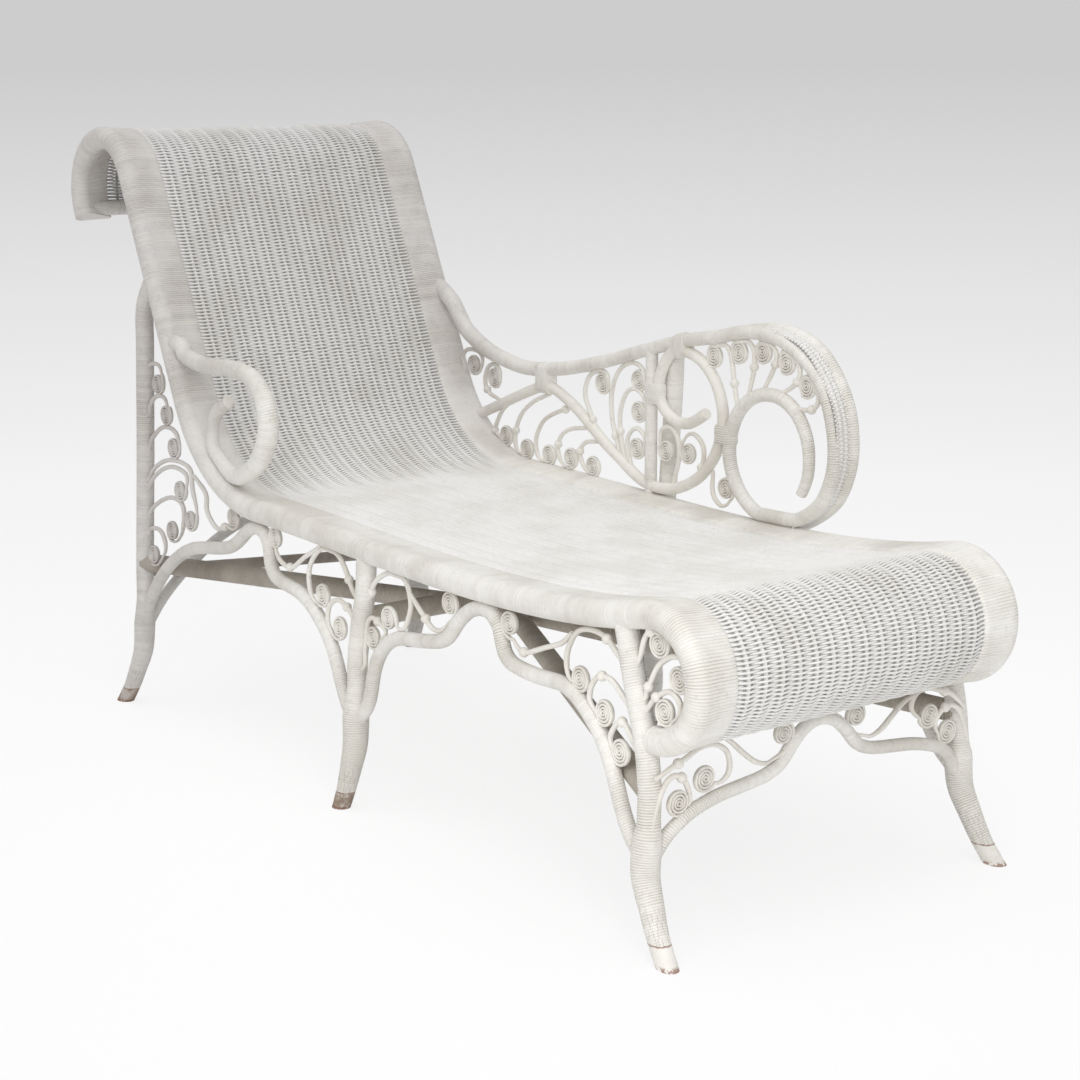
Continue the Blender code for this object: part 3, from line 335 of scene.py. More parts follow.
def legs():
    made = []
    for place, line in legPaths.items():
        thick = legSize["backLegR"] if place == "back" else legSize["legR"]
        toeR = legSize["toeR"]
        foot = [thick, 0.93 * thick, 0.82 * thick, 0.5 * (0.75 * thick + toeR), toeR, toeR]
        radii = [postR] * (len(line) - len(foot)) + foot
        for name, side in bothSides:
            made.append(pole(f"leg_{place}_{name}", onSide(side, line), radii, "wrap"))
    return made


# Ogee arches: fractions of a bay's length, and of the seat's height. Each peak touches the rail above it.

backArchShape = pairs(
    0, 0.33, 0.018, 0.44, 0.06, 0.54, 0.11, 0.63, 0.18, 0.72, 0.254, 0.78, 0.356, 0.815, 0.43, 0.845,
    0.479, 0.895, 0.518, 0.95, 0.562, 0.975, 0.598, 0.955, 0.616, 0.9, 0.62, 0.84, 0.64, 0.79, 0.682, 0.77,
    0.747, 0.755, 0.798, 0.72, 0.856, 0.645, 0.9, 0.56, 0.935, 0.46, 0.965, 0.385, 1, 0.33)
frontArchShape = pairs(
    0, 0.33, 0.041, 0.4, 0.056, 0.465, 0.064, 0.54, 0.082, 0.61, 0.113, 0.67, 0.159, 0.71, 0.232, 0.73,
    0.306, 0.755, 0.343, 0.79, 0.372, 0.85, 0.408, 0.905, 0.45, 0.935, 0.491, 0.93, 0.518, 0.885,
    0.534, 0.81, 0.567, 0.77, 0.65, 0.76, 0.72, 0.765, 0.77, 0.74, 0.82, 0.68, 0.857, 0.615, 0.889, 0.535,
    0.918, 0.44, 0.95, 0.36, 0.985, 0.31)


def archLine(left, shape):
    peakU, peakV = max(shape, key=lambda pair: pair[1])
    ceiling = railAtX(left + peakU * bay).y - railR - archR + bite
    points = []
    for u, v in shape:
        high = max(0.0, (v - 0.6) / (peakV - 0.6))  # only the upper part is stretched to the rail
        points.append((left + u * bay, v * seatZ + high * (ceiling - peakV * seatZ)))
    return smooth(points, 2)


archPaths = {"back": archLine(backLegX, backArchShape), "front": archLine(midLegX, frontArchShape)}


def sideArches():
    return [pole(f"side_arch_{place}_{name}", onSide(side, points), archR, "wrap")
            for place, points in archPaths.items() for name, side in bothSides]


# Bowed aprons at the two ends: fractions of the half width, and of the bow's height

frontApronShape = pairs(
    0, 1, 0.1, 0.968, 0.18, 0.889, 0.245, 0.81, 0.36, 0.762, 0.6, 0.73, 0.78, 0.677, 0.88, 0.603,
    0.95, 0.497, 1, 0.392)
backApronShape = pairs(
    0, 1, 0.2, 0.985, 0.4, 0.918, 0.6, 0.803, 0.8, 0.64, 0.92, 0.52, 1, 0.426)


def tailAngle(end, centreRadius, inward):
    # where the bar between the rails' ends sits on the arc, clear of the rails' end faces
    return end + inward * math.degrees((tailBarR + barSize["tailBarGap"]) / centreRadius)


def footTailBar():
    return onCircle(rollX, rollZ, rollR, tailAngle(rollTail(), rollR, 1))


frontApronTop = footTailBar().y - tailBarR - barSize["apronR"] + bite


def bowLine(top, half):
    # across and up, from the near leg to the far leg
    reach = halfWidth + lean(half[-1][1] * top)
    whole = [(-s, v) for s, v in reversed(half)] + half[1:]
    return [Vector((s * reach, v * top)) for s, v in smooth(whole, 2)]


def endApron(name, x, outward, top, half):
    line = bowLine(top, half)
    path = []
    for acrossY, z in line:
        step = outward * barSize["apronStep"] * min(1.0, 6 * (1 - abs(acrossY / line[-1].x)))
        path.append((x + step, acrossY, z))
    return pole(name, path, barSize["apronR"], "wrap")


def aprons():
    return [endApron("apron_front", frontLegX, 1, frontApronTop, frontApronShape),
            endApron("apron_back", backLegX, -1, barSize["backApronTop"], backApronShape)]


def across(name, x, z, radius, look="paint"):
    reach = halfWidth + lean(z)
    return pole(name, [(x, -reach, z), (x, 0, z), (x, reach, z)], radius, look)


def bars():
    crestTail = onCircle(crestX, crestZ, crestR, tailAngle(railSize["crestTail"], crestR, -1))
    footTail = footTailBar()
    made = [across("crest_tail_bar", crestTail.x, crestTail.y, tailBarR, "wrap"),
            across("foot_roll_tail_bar", footTail.x, footTail.y, tailBarR, "wrap")]
    under = weaveRise - weaveSize["weaveT"] / 2 - barSize["barR"] - chaiseSize["fitGap"]
    for name, x in (("seat_bar_back", weaveSize["seatStart"] + 0.020), ("seat_bar_mid", midLegX + 0.050),
                    ("seat_bar_front", weaveSize["seatEnd"] - 0.015)):
        made.append(across(name, x, railAtX(x).y + under, barSize["barR"]))
    return made


def stretchers():
    # two cross stretchers, and four braces that meet under the middle one
    crossZ = barSize["crossStretcherZ"]
    thick = barSize["stretcherR"]
    midX = legX("mid", crossZ)
    nearZ = barSize["backStretcherZ"]
    farZ = barSize["backStretcherZ"] - barSize["backStretcherDrop"]
    ends = onSide(-1, [(legX("back", nearZ), nearZ)]) + onSide(1, [(legX("back", farZ), farZ)])
    made = [across("stretcher_mid", midX, crossZ, thick, "shade")]
    meeting = Vector((midX, 0, crossZ - 2 * thick + bite))
    for place, z in (("back", barSize["backBraceZ"]), ("front", barSize["frontBraceZ"])):
        for name, side in bothSides:
            corner = onSide(side, [(legX(place, z), z)])[0]
            end = meeting + (corner - meeting).normalized() * 0.4 * thick
            made.append(pole(f"brace_{place}_{name}", [corner, end], thick, "shade"))
    return made + [pole("stretcher_back", ends, barSize["backStretcherR"], "shade")]


# The long arm: fractions of its reach, and of its height above the seat

armTopShape = pairs(
    -0.03, 0.975, 0.024, 0.879, 0.062, 0.748, 0.125, 0.65, 0.187, 0.605, 0.249, 0.586, 0.337, 0.615,
    0.444, 0.688, 0.545, 0.78, 0.64, 0.86, 0.723, 0.908, 0.77, 0.943, 0.819, 0.952, 0.867, 0.927,
    0.913, 0.854, 0.948, 0.739, 0.97, 0.56, 0.973, 0.385, 0.953, 0.223, 0.916, 0.127, 0.877, 0.085,
    0.837, 0.076, 0.798, 0.118, 0.768, 0.205, 0.752, 0.32, 0.752, 0.42, 0.762, 0.52, 0.783, 0.605,
    0.817, 0.662, 0.858, 0.665, 0.892, 0.611, 0.914, 0.516, 0.922, 0.417, 0.92, 0.312, 0.908, 0.229)
armOuterShape = pairs(
    0.738, 0.917, 0.78, 0.952, 0.823, 0.964, 0.86, 0.955, 0.897, 0.92, 0.925, 0.86, 0.951, 0.765,
    0.971, 0.65, 0.98, 0.52, 0.978, 0.38, 0.957, 0.223, 0.918, 0.118, 0.869, 0.035)
armLowerShape = pairs(
    0.089, 0.262, 0.113, 0.29, 0.166, 0.357, 0.238, 0.449, 0.294, 0.505, 0.335, 0.481, 0.388, 0.401,
    0.44, 0.293, 0.492, 0.204, 0.542, 0.124, 0.592, 0.102, 0.64, 0.131, 0.686, 0.21, 0.718, 0.325,
    0.733, 0.452, 0.734, 0.561, 0.718, 0.682, 0.69, 0.768, 0.659, 0.806, 0.624, 0.815, 0.598, 0.736,
    0.584, 0.618, 0.595, 0.519, 0.626, 0.459, 0.661, 0.462, 0.697, 0.525)


def armPoint(fx, fz):
    return Vector((armSize["longArmBack"] + fx * armSize["longArmReach"],
                   seatZ - weaveRise + fz * armSize["longArmHeight"]))


def armRun(shape, radius):
    # an arm's pole in its own plane; it lies on the rail wherever it comes down to it
    points = smooth([armPoint(fx, fz) for fx, fz in shape], 2)
    return points[:3] + [keptOff(point, railLine, railR + radius - bite) for point in points[3:]]


def heightOver(points, x):
    for a, b in zip(points, points[1:]):
        if min(a.x, b.x) <= x <= max(a.x, b.x) and a.x != b.x:
            return a.y + (b.y - a.y) * (x - a.x) / (b.x - a.x)
    return points[-1].y


def outerRailPath():
    # it leaves the top rail, stands clear round the bow, and comes back beside the side rail
    points = smooth([armPoint(fx, fz) for fx, fz in armOuterShape], 2)
    atTop = halfWidth + longArmR + armSize["outerRailR"] - bite / 2
    atFoot = halfWidth + railR + armSize["outerRailR"] - bite / 2
    clear = halfWidth + armSize["outerRailStep"]
    path = []
    for i, point in enumerate(points):
        y = clear
        if i < 4:
            y = atTop + (clear - atTop) * i / 4
        if i > len(points) - 5:
            y = clear + (atFoot - clear) * (i - len(points) + 5) / 4
        path.append((point.x, y, point.y))
    return path


def longArm():
    top = armRun(armTopShape, longArmR)
    topRadii = []
    for i in range(len(top)):
        thicker = max(0.0, 1 - i / (armSize["longArmTaper"] * len(top)))
        thinner = 1 - armSize["longArmThins"] * max(0, i - len(top) + armSize["longArmTail"])
        topRadii.append((longArmR + (armSize["longArmRearR"] - longArmR) * thicker) * thinner)
    lower = armRun(armLowerShape, armSize["lowerScrollR"])
    innerX, outerX, footX = (armPoint(share, 0).x for share in armSize["postsAt"])
    railZ = railAtX(innerX).y
    topZ = heightOver(top, outerX)
    stand = halfWidth + armSize["outerPostStand"]
    innerPost = [(innerX, halfWidth, z) for z in (heightOver(top, innerX), 0.5 * (railZ + topZ), railZ)]
    outerPost = [(outerX, halfWidth + 0.015, topZ), (0.8 * outerX + 0.2 * footX, stand, topZ - 0.03),
                 (footX, stand, railZ + 0.05), (footX, halfWidth + 0.020, railZ)]
    return [
        pole("arm_long_top_rail", [(p.x, halfWidth, p.y) for p in top], topRadii, "wrap"),
        pole("arm_long_outer_rail", outerRailPath(), armSize["outerRailR"], "wrap"),
        pole("arm_long_inner_post", innerPost, armSize["armPostR"], "wrap"),
        pole("arm_long_outer_post", outerPost, armSize["armOuterPostR"], "wrap"),
        pole("arm_long_lower_scroll", [(p.x, halfWidth, p.y) for p in lower],
             armSize["lowerScrollR"], "paint"),
    ]


# The short arm: fractions of its reach, and of its height above the seat rail

shortArmShape = pairs(
    0, 1.03, 0.06, 0.959, 0.196, 0.886, 0.402, 0.85, 0.655, 0.866, 0.829, 0.846, 0.94, 0.764, 1, 0.63,
    0.984, 0.467, 0.899, 0.313, 0.769, 0.207, 0.636, 0.167, 0.538, 0.207, 0.453, 0.321, 0.449, 0.455,
    0.506, 0.569, 0.623, 0.65)


def shortArm():
    thick = armSize["shortArmR"]
    reach, high = armSize["shortArmReach"], armSize["shortArmHeight"]
    points = smooth([(armSize["shortArmBack"] + fx * reach, seatZ + fz * high)
                     for fx, fz in shortArmShape], 2)
    points = points[:3] + [keptOff(point, railLine, railR + thick - bite) for point in points[3:]]
    radii = []
    for i in range(len(points)):
        t = i / (len(points) - 1)
        bow = math.exp(-((t - 0.48) / 0.12) ** 2)  # thickest halfway round
        thinner = min(1.0, max(0.0, (t - 0.62) / 0.2))
        radii.append(thick + (armSize["shortArmBowR"] - thick) * bow
                     + (armSize["shortArmTailR"] - thick) * thinner)
    return pole("arm_short", [(p.x, -halfWidth, p.y) for p in points], radii, "wrap")


# Scrollwork: each curl is its coil's centre, and then the reed that runs from it

# behind the back in shares of the way from post to rail, in the bays of a bay's length, and both of the
# seat's height; in the foot roll in its radii, from its centre
sideCurlShapes = {
    "back": (
        (0.37, 1.4, 0.49, 1.45, 0.4, 1.48, 0.13, 1.47, -0.02, 1.43),
        (0.48, 1.28, 0.53, 1.31, 0.47, 1.35, 0.25, 1.34, 0.06, 1.27, 0, 1.2),
        (0.49, 1.15, 0.59, 1.15, 0.61, 1.21, 0.48, 1.23, 0.28, 1.21, 0.06, 1.13, 0, 1.05),
        (0.46, 0.87, 0.52, 0.91, 0.48, 1, 0.63, 1.08, 0.49, 1.1, 0.26, 1.08, 0.06, 1.01, 0, 0.9),
        (0.36, 0.98, 0.42, 1, 0.53, 1.055, 0.39, 1.07, 0.2, 1.04, 0.05, 0.97, 0, 0.87),
        (0.28, 0.8, 0.35, 0.78, 0.39, 0.85, 0.38, 0.92, 0.29, 0.94, 0.19, 0.92, 0.08, 0.87, 0, 0.8),
        (0.1, 0.67, 0.19, 0.68, 0.21, 0.73, 0.16, 0.78, 0.07, 0.78, 0.01, 0.74),
        (0.869, 0.94, 0.81, 0.9, 0.71, 0.875, 0.62, 0.93, 0.61, 1, 0.64, 1.06),
    ),
    "back_bay": (
        (0.643, 0.94, 0.642, 0.89, 0.659, 0.84, 0.712, 0.82, 0.774, 0.88, 0.839, 0.94, 0.852, 1),
        (0.85, 0.76, 0.829, 0.72, 0.799, 0.75, 0.791, 0.83, 0.817, 0.9, 0.86, 0.94, 0.914, 0.93,
         0.946, 0.88, 0.972, 0.82, 1, 0.78),
        (0.923, 0.66, 0.894, 0.62, 0.872, 0.67, 0.88, 0.73, 0.913, 0.76, 0.946, 0.75, 0.975, 0.72, 1, 0.68),
    ),
    "front_bay": (
        (0.118, 0.76, 0.149, 0.74, 0.172, 0.73, 0.194, 0.79, 0.201, 0.85, 0.179, 0.92, 0.129, 0.93,
         0.075, 0.89, 0.035, 0.82, 0.01, 0.77),
        (0.06, 0.67, 0.096, 0.67, 0.107, 0.71, 0.083, 0.73, 0.051, 0.74, 0.028, 0.7, 0.025, 0.63,
         0.03, 0.56, 0.005, 0.52),
        (0.345, 0.89, 0.352, 0.81, 0.327, 0.785, 0.284, 0.78, 0.254, 0.81, 0.228, 0.84, 0.196, 0.88),
    ),
    "front_leg": (
        (0.552, 0.89, 0.566, 0.84, 0.6, 0.81, 0.667, 0.85, 0.721, 0.885, 0.752, 0.93),
        (0.778, 0.78, 0.754, 0.75, 0.737, 0.82, 0.743, 0.88, 0.77, 0.94, 0.812, 0.96, 0.855, 0.95,
         0.891, 0.91, 0.925, 0.87, 0.955, 0.82),
        (0.856, 0.71, 0.833, 0.68, 0.811, 0.73, 0.815, 0.78, 0.839, 0.82, 0.875, 0.82, 0.911, 0.78,
         0.945, 0.74, 0.972, 0.69),
        (0.905, 0.6, 0.883, 0.57, 0.875, 0.62, 0.885, 0.67, 0.91, 0.7, 0.935, 0.67, 0.952, 0.635,
         0.975, 0.6),
    ),
    "foot_roll": (
        (0.07, 0.57, 0.26, 0.65, 0.11, 0.78, -0.12, 0.76, -0.29, 0.57, -0.38, 0.28, -0.5, 0.05),
        (0.57, 0.11, 0.78, 0.11, 0.8, 0.3, 0.66, 0.43, 0.38, 0.43, 0.07, 0.23, -0.11, -0.06, -0.26, -0.36,
         -0.33, -0.52),
        (0.25, -0.48, 0.44, -0.61, 0.58, -0.41, 0.55, -0.23, 0.32, -0.14, 0.03, -0.29, -0.15, -0.49,
         -0.28, -0.72),
    ),
}
# shares of the half width and of the front bow's height
apronCurlShapes = {
    "near": (
        (-0.86, 0.726, -0.82, 0.7, -0.8, 0.75, -0.84, 0.85, -0.9, 0.89, -0.96, 0.85, -1, 0.74, -1.02, 0.62),
        (-0.72, 0.838, -0.66, 0.8, -0.61, 0.8, -0.57, 0.85, -0.59, 0.945, -0.67, 1, -0.76, 1, -0.85, 0.96,
         -0.93, 0.93, -1.02, 0.89),
        (-0.235, 0.966, -0.31, 0.84, -0.4, 0.85, -0.48, 0.91, -0.56, 0.985, -0.62, 1.03),
    ),
    "far": (
        (0.74, 0.865, 0.68, 0.86, 0.62, 0.93, 0.65, 1, 0.73, 1.02, 0.82, 0.99, 0.91, 0.95, 1, 0.86),
        (0.87, 0.75, 0.81, 0.75, 0.79, 0.81, 0.83, 0.87, 0.9, 0.89, 0.96, 0.85, 1, 0.74, 1.02, 0.62),
        (0.235, 0.966, 0.31, 0.84, 0.4, 0.85, 0.48, 0.91, 0.56, 0.97, 0.64, 1),
    ),
}
# in the long arm's own fractions
armCurlShapes = {
    "rear": (
        (0.088, 0.55, 0.108, 0.53, 0.112, 0.6, 0.094, 0.63, 0.064, 0.62, 0.048, 0.55, 0.047, 0.5,
         0.047, 0.44),
        (0.149, 0.5, 0.161, 0.46, 0.164, 0.53, 0.15, 0.57, 0.129, 0.55, 0.12, 0.47, 0.131, 0.41,
         0.165, 0.38),
    ),
    "fan": (
        (0.18, 0.18, 0.165, 0.12, 0.148, 0.15, 0.148, 0.21, 0.166, 0.31, 0.185, 0.36),
        (0.24, 0.14, 0.229, 0.09, 0.209, 0.14, 0.209, 0.23, 0.226, 0.33, 0.26, 0.41, 0.307, 0.47),
        (0.302, 0.14, 0.296, 0.09, 0.271, 0.12, 0.266, 0.21, 0.285, 0.31, 0.318, 0.37, 0.365, 0.42),
        (0.361, 0.15, 0.351, 0.09, 0.332, 0.13, 0.326, 0.2, 0.34, 0.27, 0.369, 0.31, 0.415, 0.33),
        (0.42, 0.13, 0.415, 0.08, 0.396, 0.12, 0.385, 0.19, 0.401, 0.25, 0.44, 0.27),
    ),
    "middle": (
        (0.445, 0.58, 0.458, 0.56, 0.455, 0.63, 0.432, 0.64, 0.409, 0.6, 0.398, 0.51, 0.409, 0.43,
         0.43, 0.33),
        (0.536, 0.63, 0.55, 0.62, 0.543, 0.69, 0.516, 0.71, 0.486, 0.66, 0.468, 0.55, 0.468, 0.42,
         0.479, 0.31, 0.494, 0.21),
        (0.536, 0.47, 0.551, 0.48, 0.546, 0.55, 0.526, 0.58, 0.504, 0.55, 0.489, 0.44, 0.492, 0.31,
         0.503, 0.19),
        (0.532, 0.28, 0.549, 0.29, 0.549, 0.35, 0.532, 0.38, 0.514, 0.35, 0.507, 0.28, 0.522, 0.16),
    ),
    "post": (
        (0.604, 0.3, 0.588, 0.33, 0.592, 0.4, 0.614, 0.42, 0.631, 0.37, 0.634, 0.27, 0.62, 0.13),
        (0.656, 0.31, 0.648, 0.38, 0.668, 0.41, 0.69, 0.36, 0.69, 0.27, 0.672, 0.18),
    ),
    "crown": (
        (0.712, 0.81, 0.699, 0.79, 0.705, 0.86, 0.727, 0.88, 0.748, 0.84, 0.758, 0.7, 0.768, 0.56),
        (0.768, 0.85, 0.755, 0.82, 0.756, 0.89, 0.776, 0.91, 0.798, 0.88, 0.801, 0.78, 0.789, 0.64),
        (0.82, 0.87, 0.809, 0.84, 0.811, 0.905, 0.83, 0.915, 0.848, 0.87, 0.844, 0.8, 0.821, 0.68),
        (0.871, 0.84, 0.861, 0.81, 0.86, 0.88, 0.879, 0.88, 0.896, 0.84, 0.897, 0.77, 0.881, 0.72,
         0.855, 0.68),
        (0.914, 0.74, 0.904, 0.71, 0.903, 0.77, 0.922, 0.78, 0.937, 0.72, 0.935, 0.66, 0.919, 0.63,
         0.888, 0.63),
    ),
    "foot": (
        (0.747, 0.18, 0.752, 0.115, 0.733, 0.085, 0.714, 0.14, 0.714, 0.25),
    ),
}


def offGuides(point, guides, radius):
    for line, poleRadius in guides + guides:
        point = keptOff(point, line, poleRadius + radius - bite)
    return point


def sideCurls():
    rail = (railLine, railR)
    posts = {place: ([Vector(p) for p in line], postR) for place, line in legPaths.items()}
    arches = {place: (line, archR) for place, line in archPaths.items()}

    def behindBack(f, v):
        post = legX("back", v * seatZ)
        return Vector((post + f * (railAtHeight(v * seatZ).x - post), v * seatZ))

    def inBay(u, v, left):
        return Vector((left + u * bay, v * seatZ))

    def inRoll(a, b):
        return Vector((rollX + a * rollR, rollZ + b * rollR))

    inFrontBay = partial(inBay, left=midLegX)
    places = {"back": (behindBack, [rail, posts["back"], arches["back"]]),
              "back_bay": (partial(inBay, left=backLegX), [rail, posts["mid"], arches["back"]]),
              "front_bay": (inFrontBay, [rail, posts["mid"], arches["front"]]),
              "front_leg": (inFrontBay, [rail, posts["front"], arches["front"]]),
              "foot_roll": (inRoll, [rail, posts["front"]])}
    made = []
    for name, side in bothSides:
        def lift(point, side=side):
            return onSide(side, [point])[0] + Vector((0, side * coilLook["standOff"], 0))

        for part, (flat, guides) in places.items():
            made.append(curlPanel(f"curls_{part}_{name}", sideCurlShapes[part],
                                  flat, lift, guides, (0, 1, 0)))
    return made


def apronCurls():
    guides = [(bowLine(frontApronTop, frontApronShape), barSize["apronR"])]

    def flat(s, v):
        z = v * frontApronTop
        return Vector((s * (halfWidth + lean(z)), z))

    def lift(point):
        return Vector((frontLegX + barSize["apronStep"] + coilLook["standOff"], point.x, point.y))

    return [curlPanel(f"curls_front_apron_{name}", curls, flat, lift, guides, (1, 0, 0))
            for name, curls in apronCurlShapes.items()]


def armCurls():
    guides = [(railLine, railR), (armRun(armTopShape, longArmR), longArmR),
              (armRun(armLowerShape, armSize["lowerScrollR"]), armSize["lowerScrollR"])]

    def lift(point):
        return Vector((point.x, halfWidth + coilLook["standOff"], point.y))

    return [curlPanel(f"curls_arm_{part}", curls, armPoint, lift, guides, (0, 1, 0))
            for part, curls in armCurlShapes.items()]


# The woven surface

def offsetRail(rise):
    out = []
    for i, point in enumerate(railLine):
        ahead = heading(railLine, i)
        out.append(point + Vector((-ahead.y, ahead.x)) * rise)
    return out


# Node materials

def linear(hexColour):
    # sRGB hex to the linear values that sockets take
    values = [int(hexColour[i:i + 2], 16) / 255 for i in (1, 3, 5)]
    return tuple(v / 12.92 if v <= 0.04045 else ((v + 0.055) / 1.055) ** 2.4 for v in values) + (1.0,)


def addNode(tree, kind, *inputs, **named):
    # inputs in the order the editor shows, and by name beside the node's own settings;
    # each is a value, an output, or a node that stands for its first output
    made = tree.nodes.new("ShaderNode" + kind)
    given = {key: named.pop(key) for key in list(named) if key in made.inputs}
    for key, value in named.items():
        setattr(made, key, value)
    shown = [i for i, socket in enumerate(made.inputs) if socket.enabled]
    for key, value in [*zip(shown, inputs), *given.items()]:
        if isinstance(value, bpy.types.Node):
            value = next(socket for socket in value.outputs if socket.enabled)
        if isinstance(value, bpy.types.NodeSocket):
            tree.links.new(value, made.inputs[key])
        else:
            made.inputs[key].default_value = value
    return made


# settings that many nodes share
times = {"operation": "MULTIPLY"}
timesPlus = {"operation": "MULTIPLY_ADD"}
plus = {"operation": "ADD"}
minus = {"operation": "SUBTRACT"}
eased = {"interpolation_type": "SMOOTHSTEP"}
rgba = {"data_type": "RGBA"}

# ranges: where in the noise or the length it begins and is full, and what it gives there if not 0 and 1
paintLook = {
    "cane": {"paint": "#F1EFEA", "aged": "#E2DED6", "grime": "#9A8F82", "chip": "#8A5F4E", "pitch": 0.0036,
             "roughness": 0.55, "relief": 0.0008, "chips": 0.775, "greys": 1.0},
    # the braces and stretchers under the seat: more wear, and darker paint for painted shade
    "worn": {"paint": "#C6BFB3", "aged": "#ADA497", "grime": "#6F6557", "chip": "#6E5646", "pitch": 0.0038,
             "roughness": 0.72, "relief": 0.0010, "chips": 0.70, "greys": 1.0},
    "reed": {"paint": "#EEEBE4", "aged": "#DED9D0", "grime": "#9C9386", "chip": "#8A6250", "pitch": 0.0,
             "roughness": 0.48, "relief": 0.0003, "chips": 0.84, "greys": 1.0},
    "weft": {"paint": "#EEEDEB", "aged": "#E6E4E0", "grime": "#B3ACA2", "chip": "#8F6A58", "pitch": 0.0,
             "roughness": 0.58, "relief": 0.0003, "chips": 0.82, "greys": 0.22},
    "bareToe": "#8F7A68",
    # painted shade towards the head end
    "headEndShade": "#DDDBDE",
    # the dark colour of painted shade and dust in the weave and the coils
    "paintedShadeAndDust": "#443C33",
    "broad": {"Scale": 9.0, "Detail": 3.0, "Roughness": 0.6},
    "fine": {"Scale": 140.0, "Detail": 2.0, "Roughness": 0.55},
    "flakes": {"Scale": 34.0, "Detail": 4.0, "Roughness": 0.75},
    "ageing": (0.40, 0.68),
    "dirt": (0.55, 0.75, 0.0, 0.18),
    "headShadeFrom": (-0.15, -0.60),  # along the chaise
    "filled": (0.38, 0.64, 0.25, 0.85),
    "groove": (0.26, 0.48),
    "gaps": (0.78, 0.97, 0.15, 0.70),
    "capTop": 0.0265,  # the feet are bare of cane below this height
    "barePatches": (0.40, 0.56, 0.35, 0.95),
    "bareLegs": (0.5, 0.6, 1.0, 0.0),  # along the chaise: not the front legs
    "capRing": (0.0004, 0.0013, 1.0, 0.0),
    "toeRim": (0.003, 0.007, 1.0, 0.0),
    "rimWear": (0.42, 0.5),
    "cracks": {"columns": 13.0, "rowHeight": 0.009, "width": (0.09, 0.04), "top": (0.055, 0.085, 1.0, 0.0)},
}


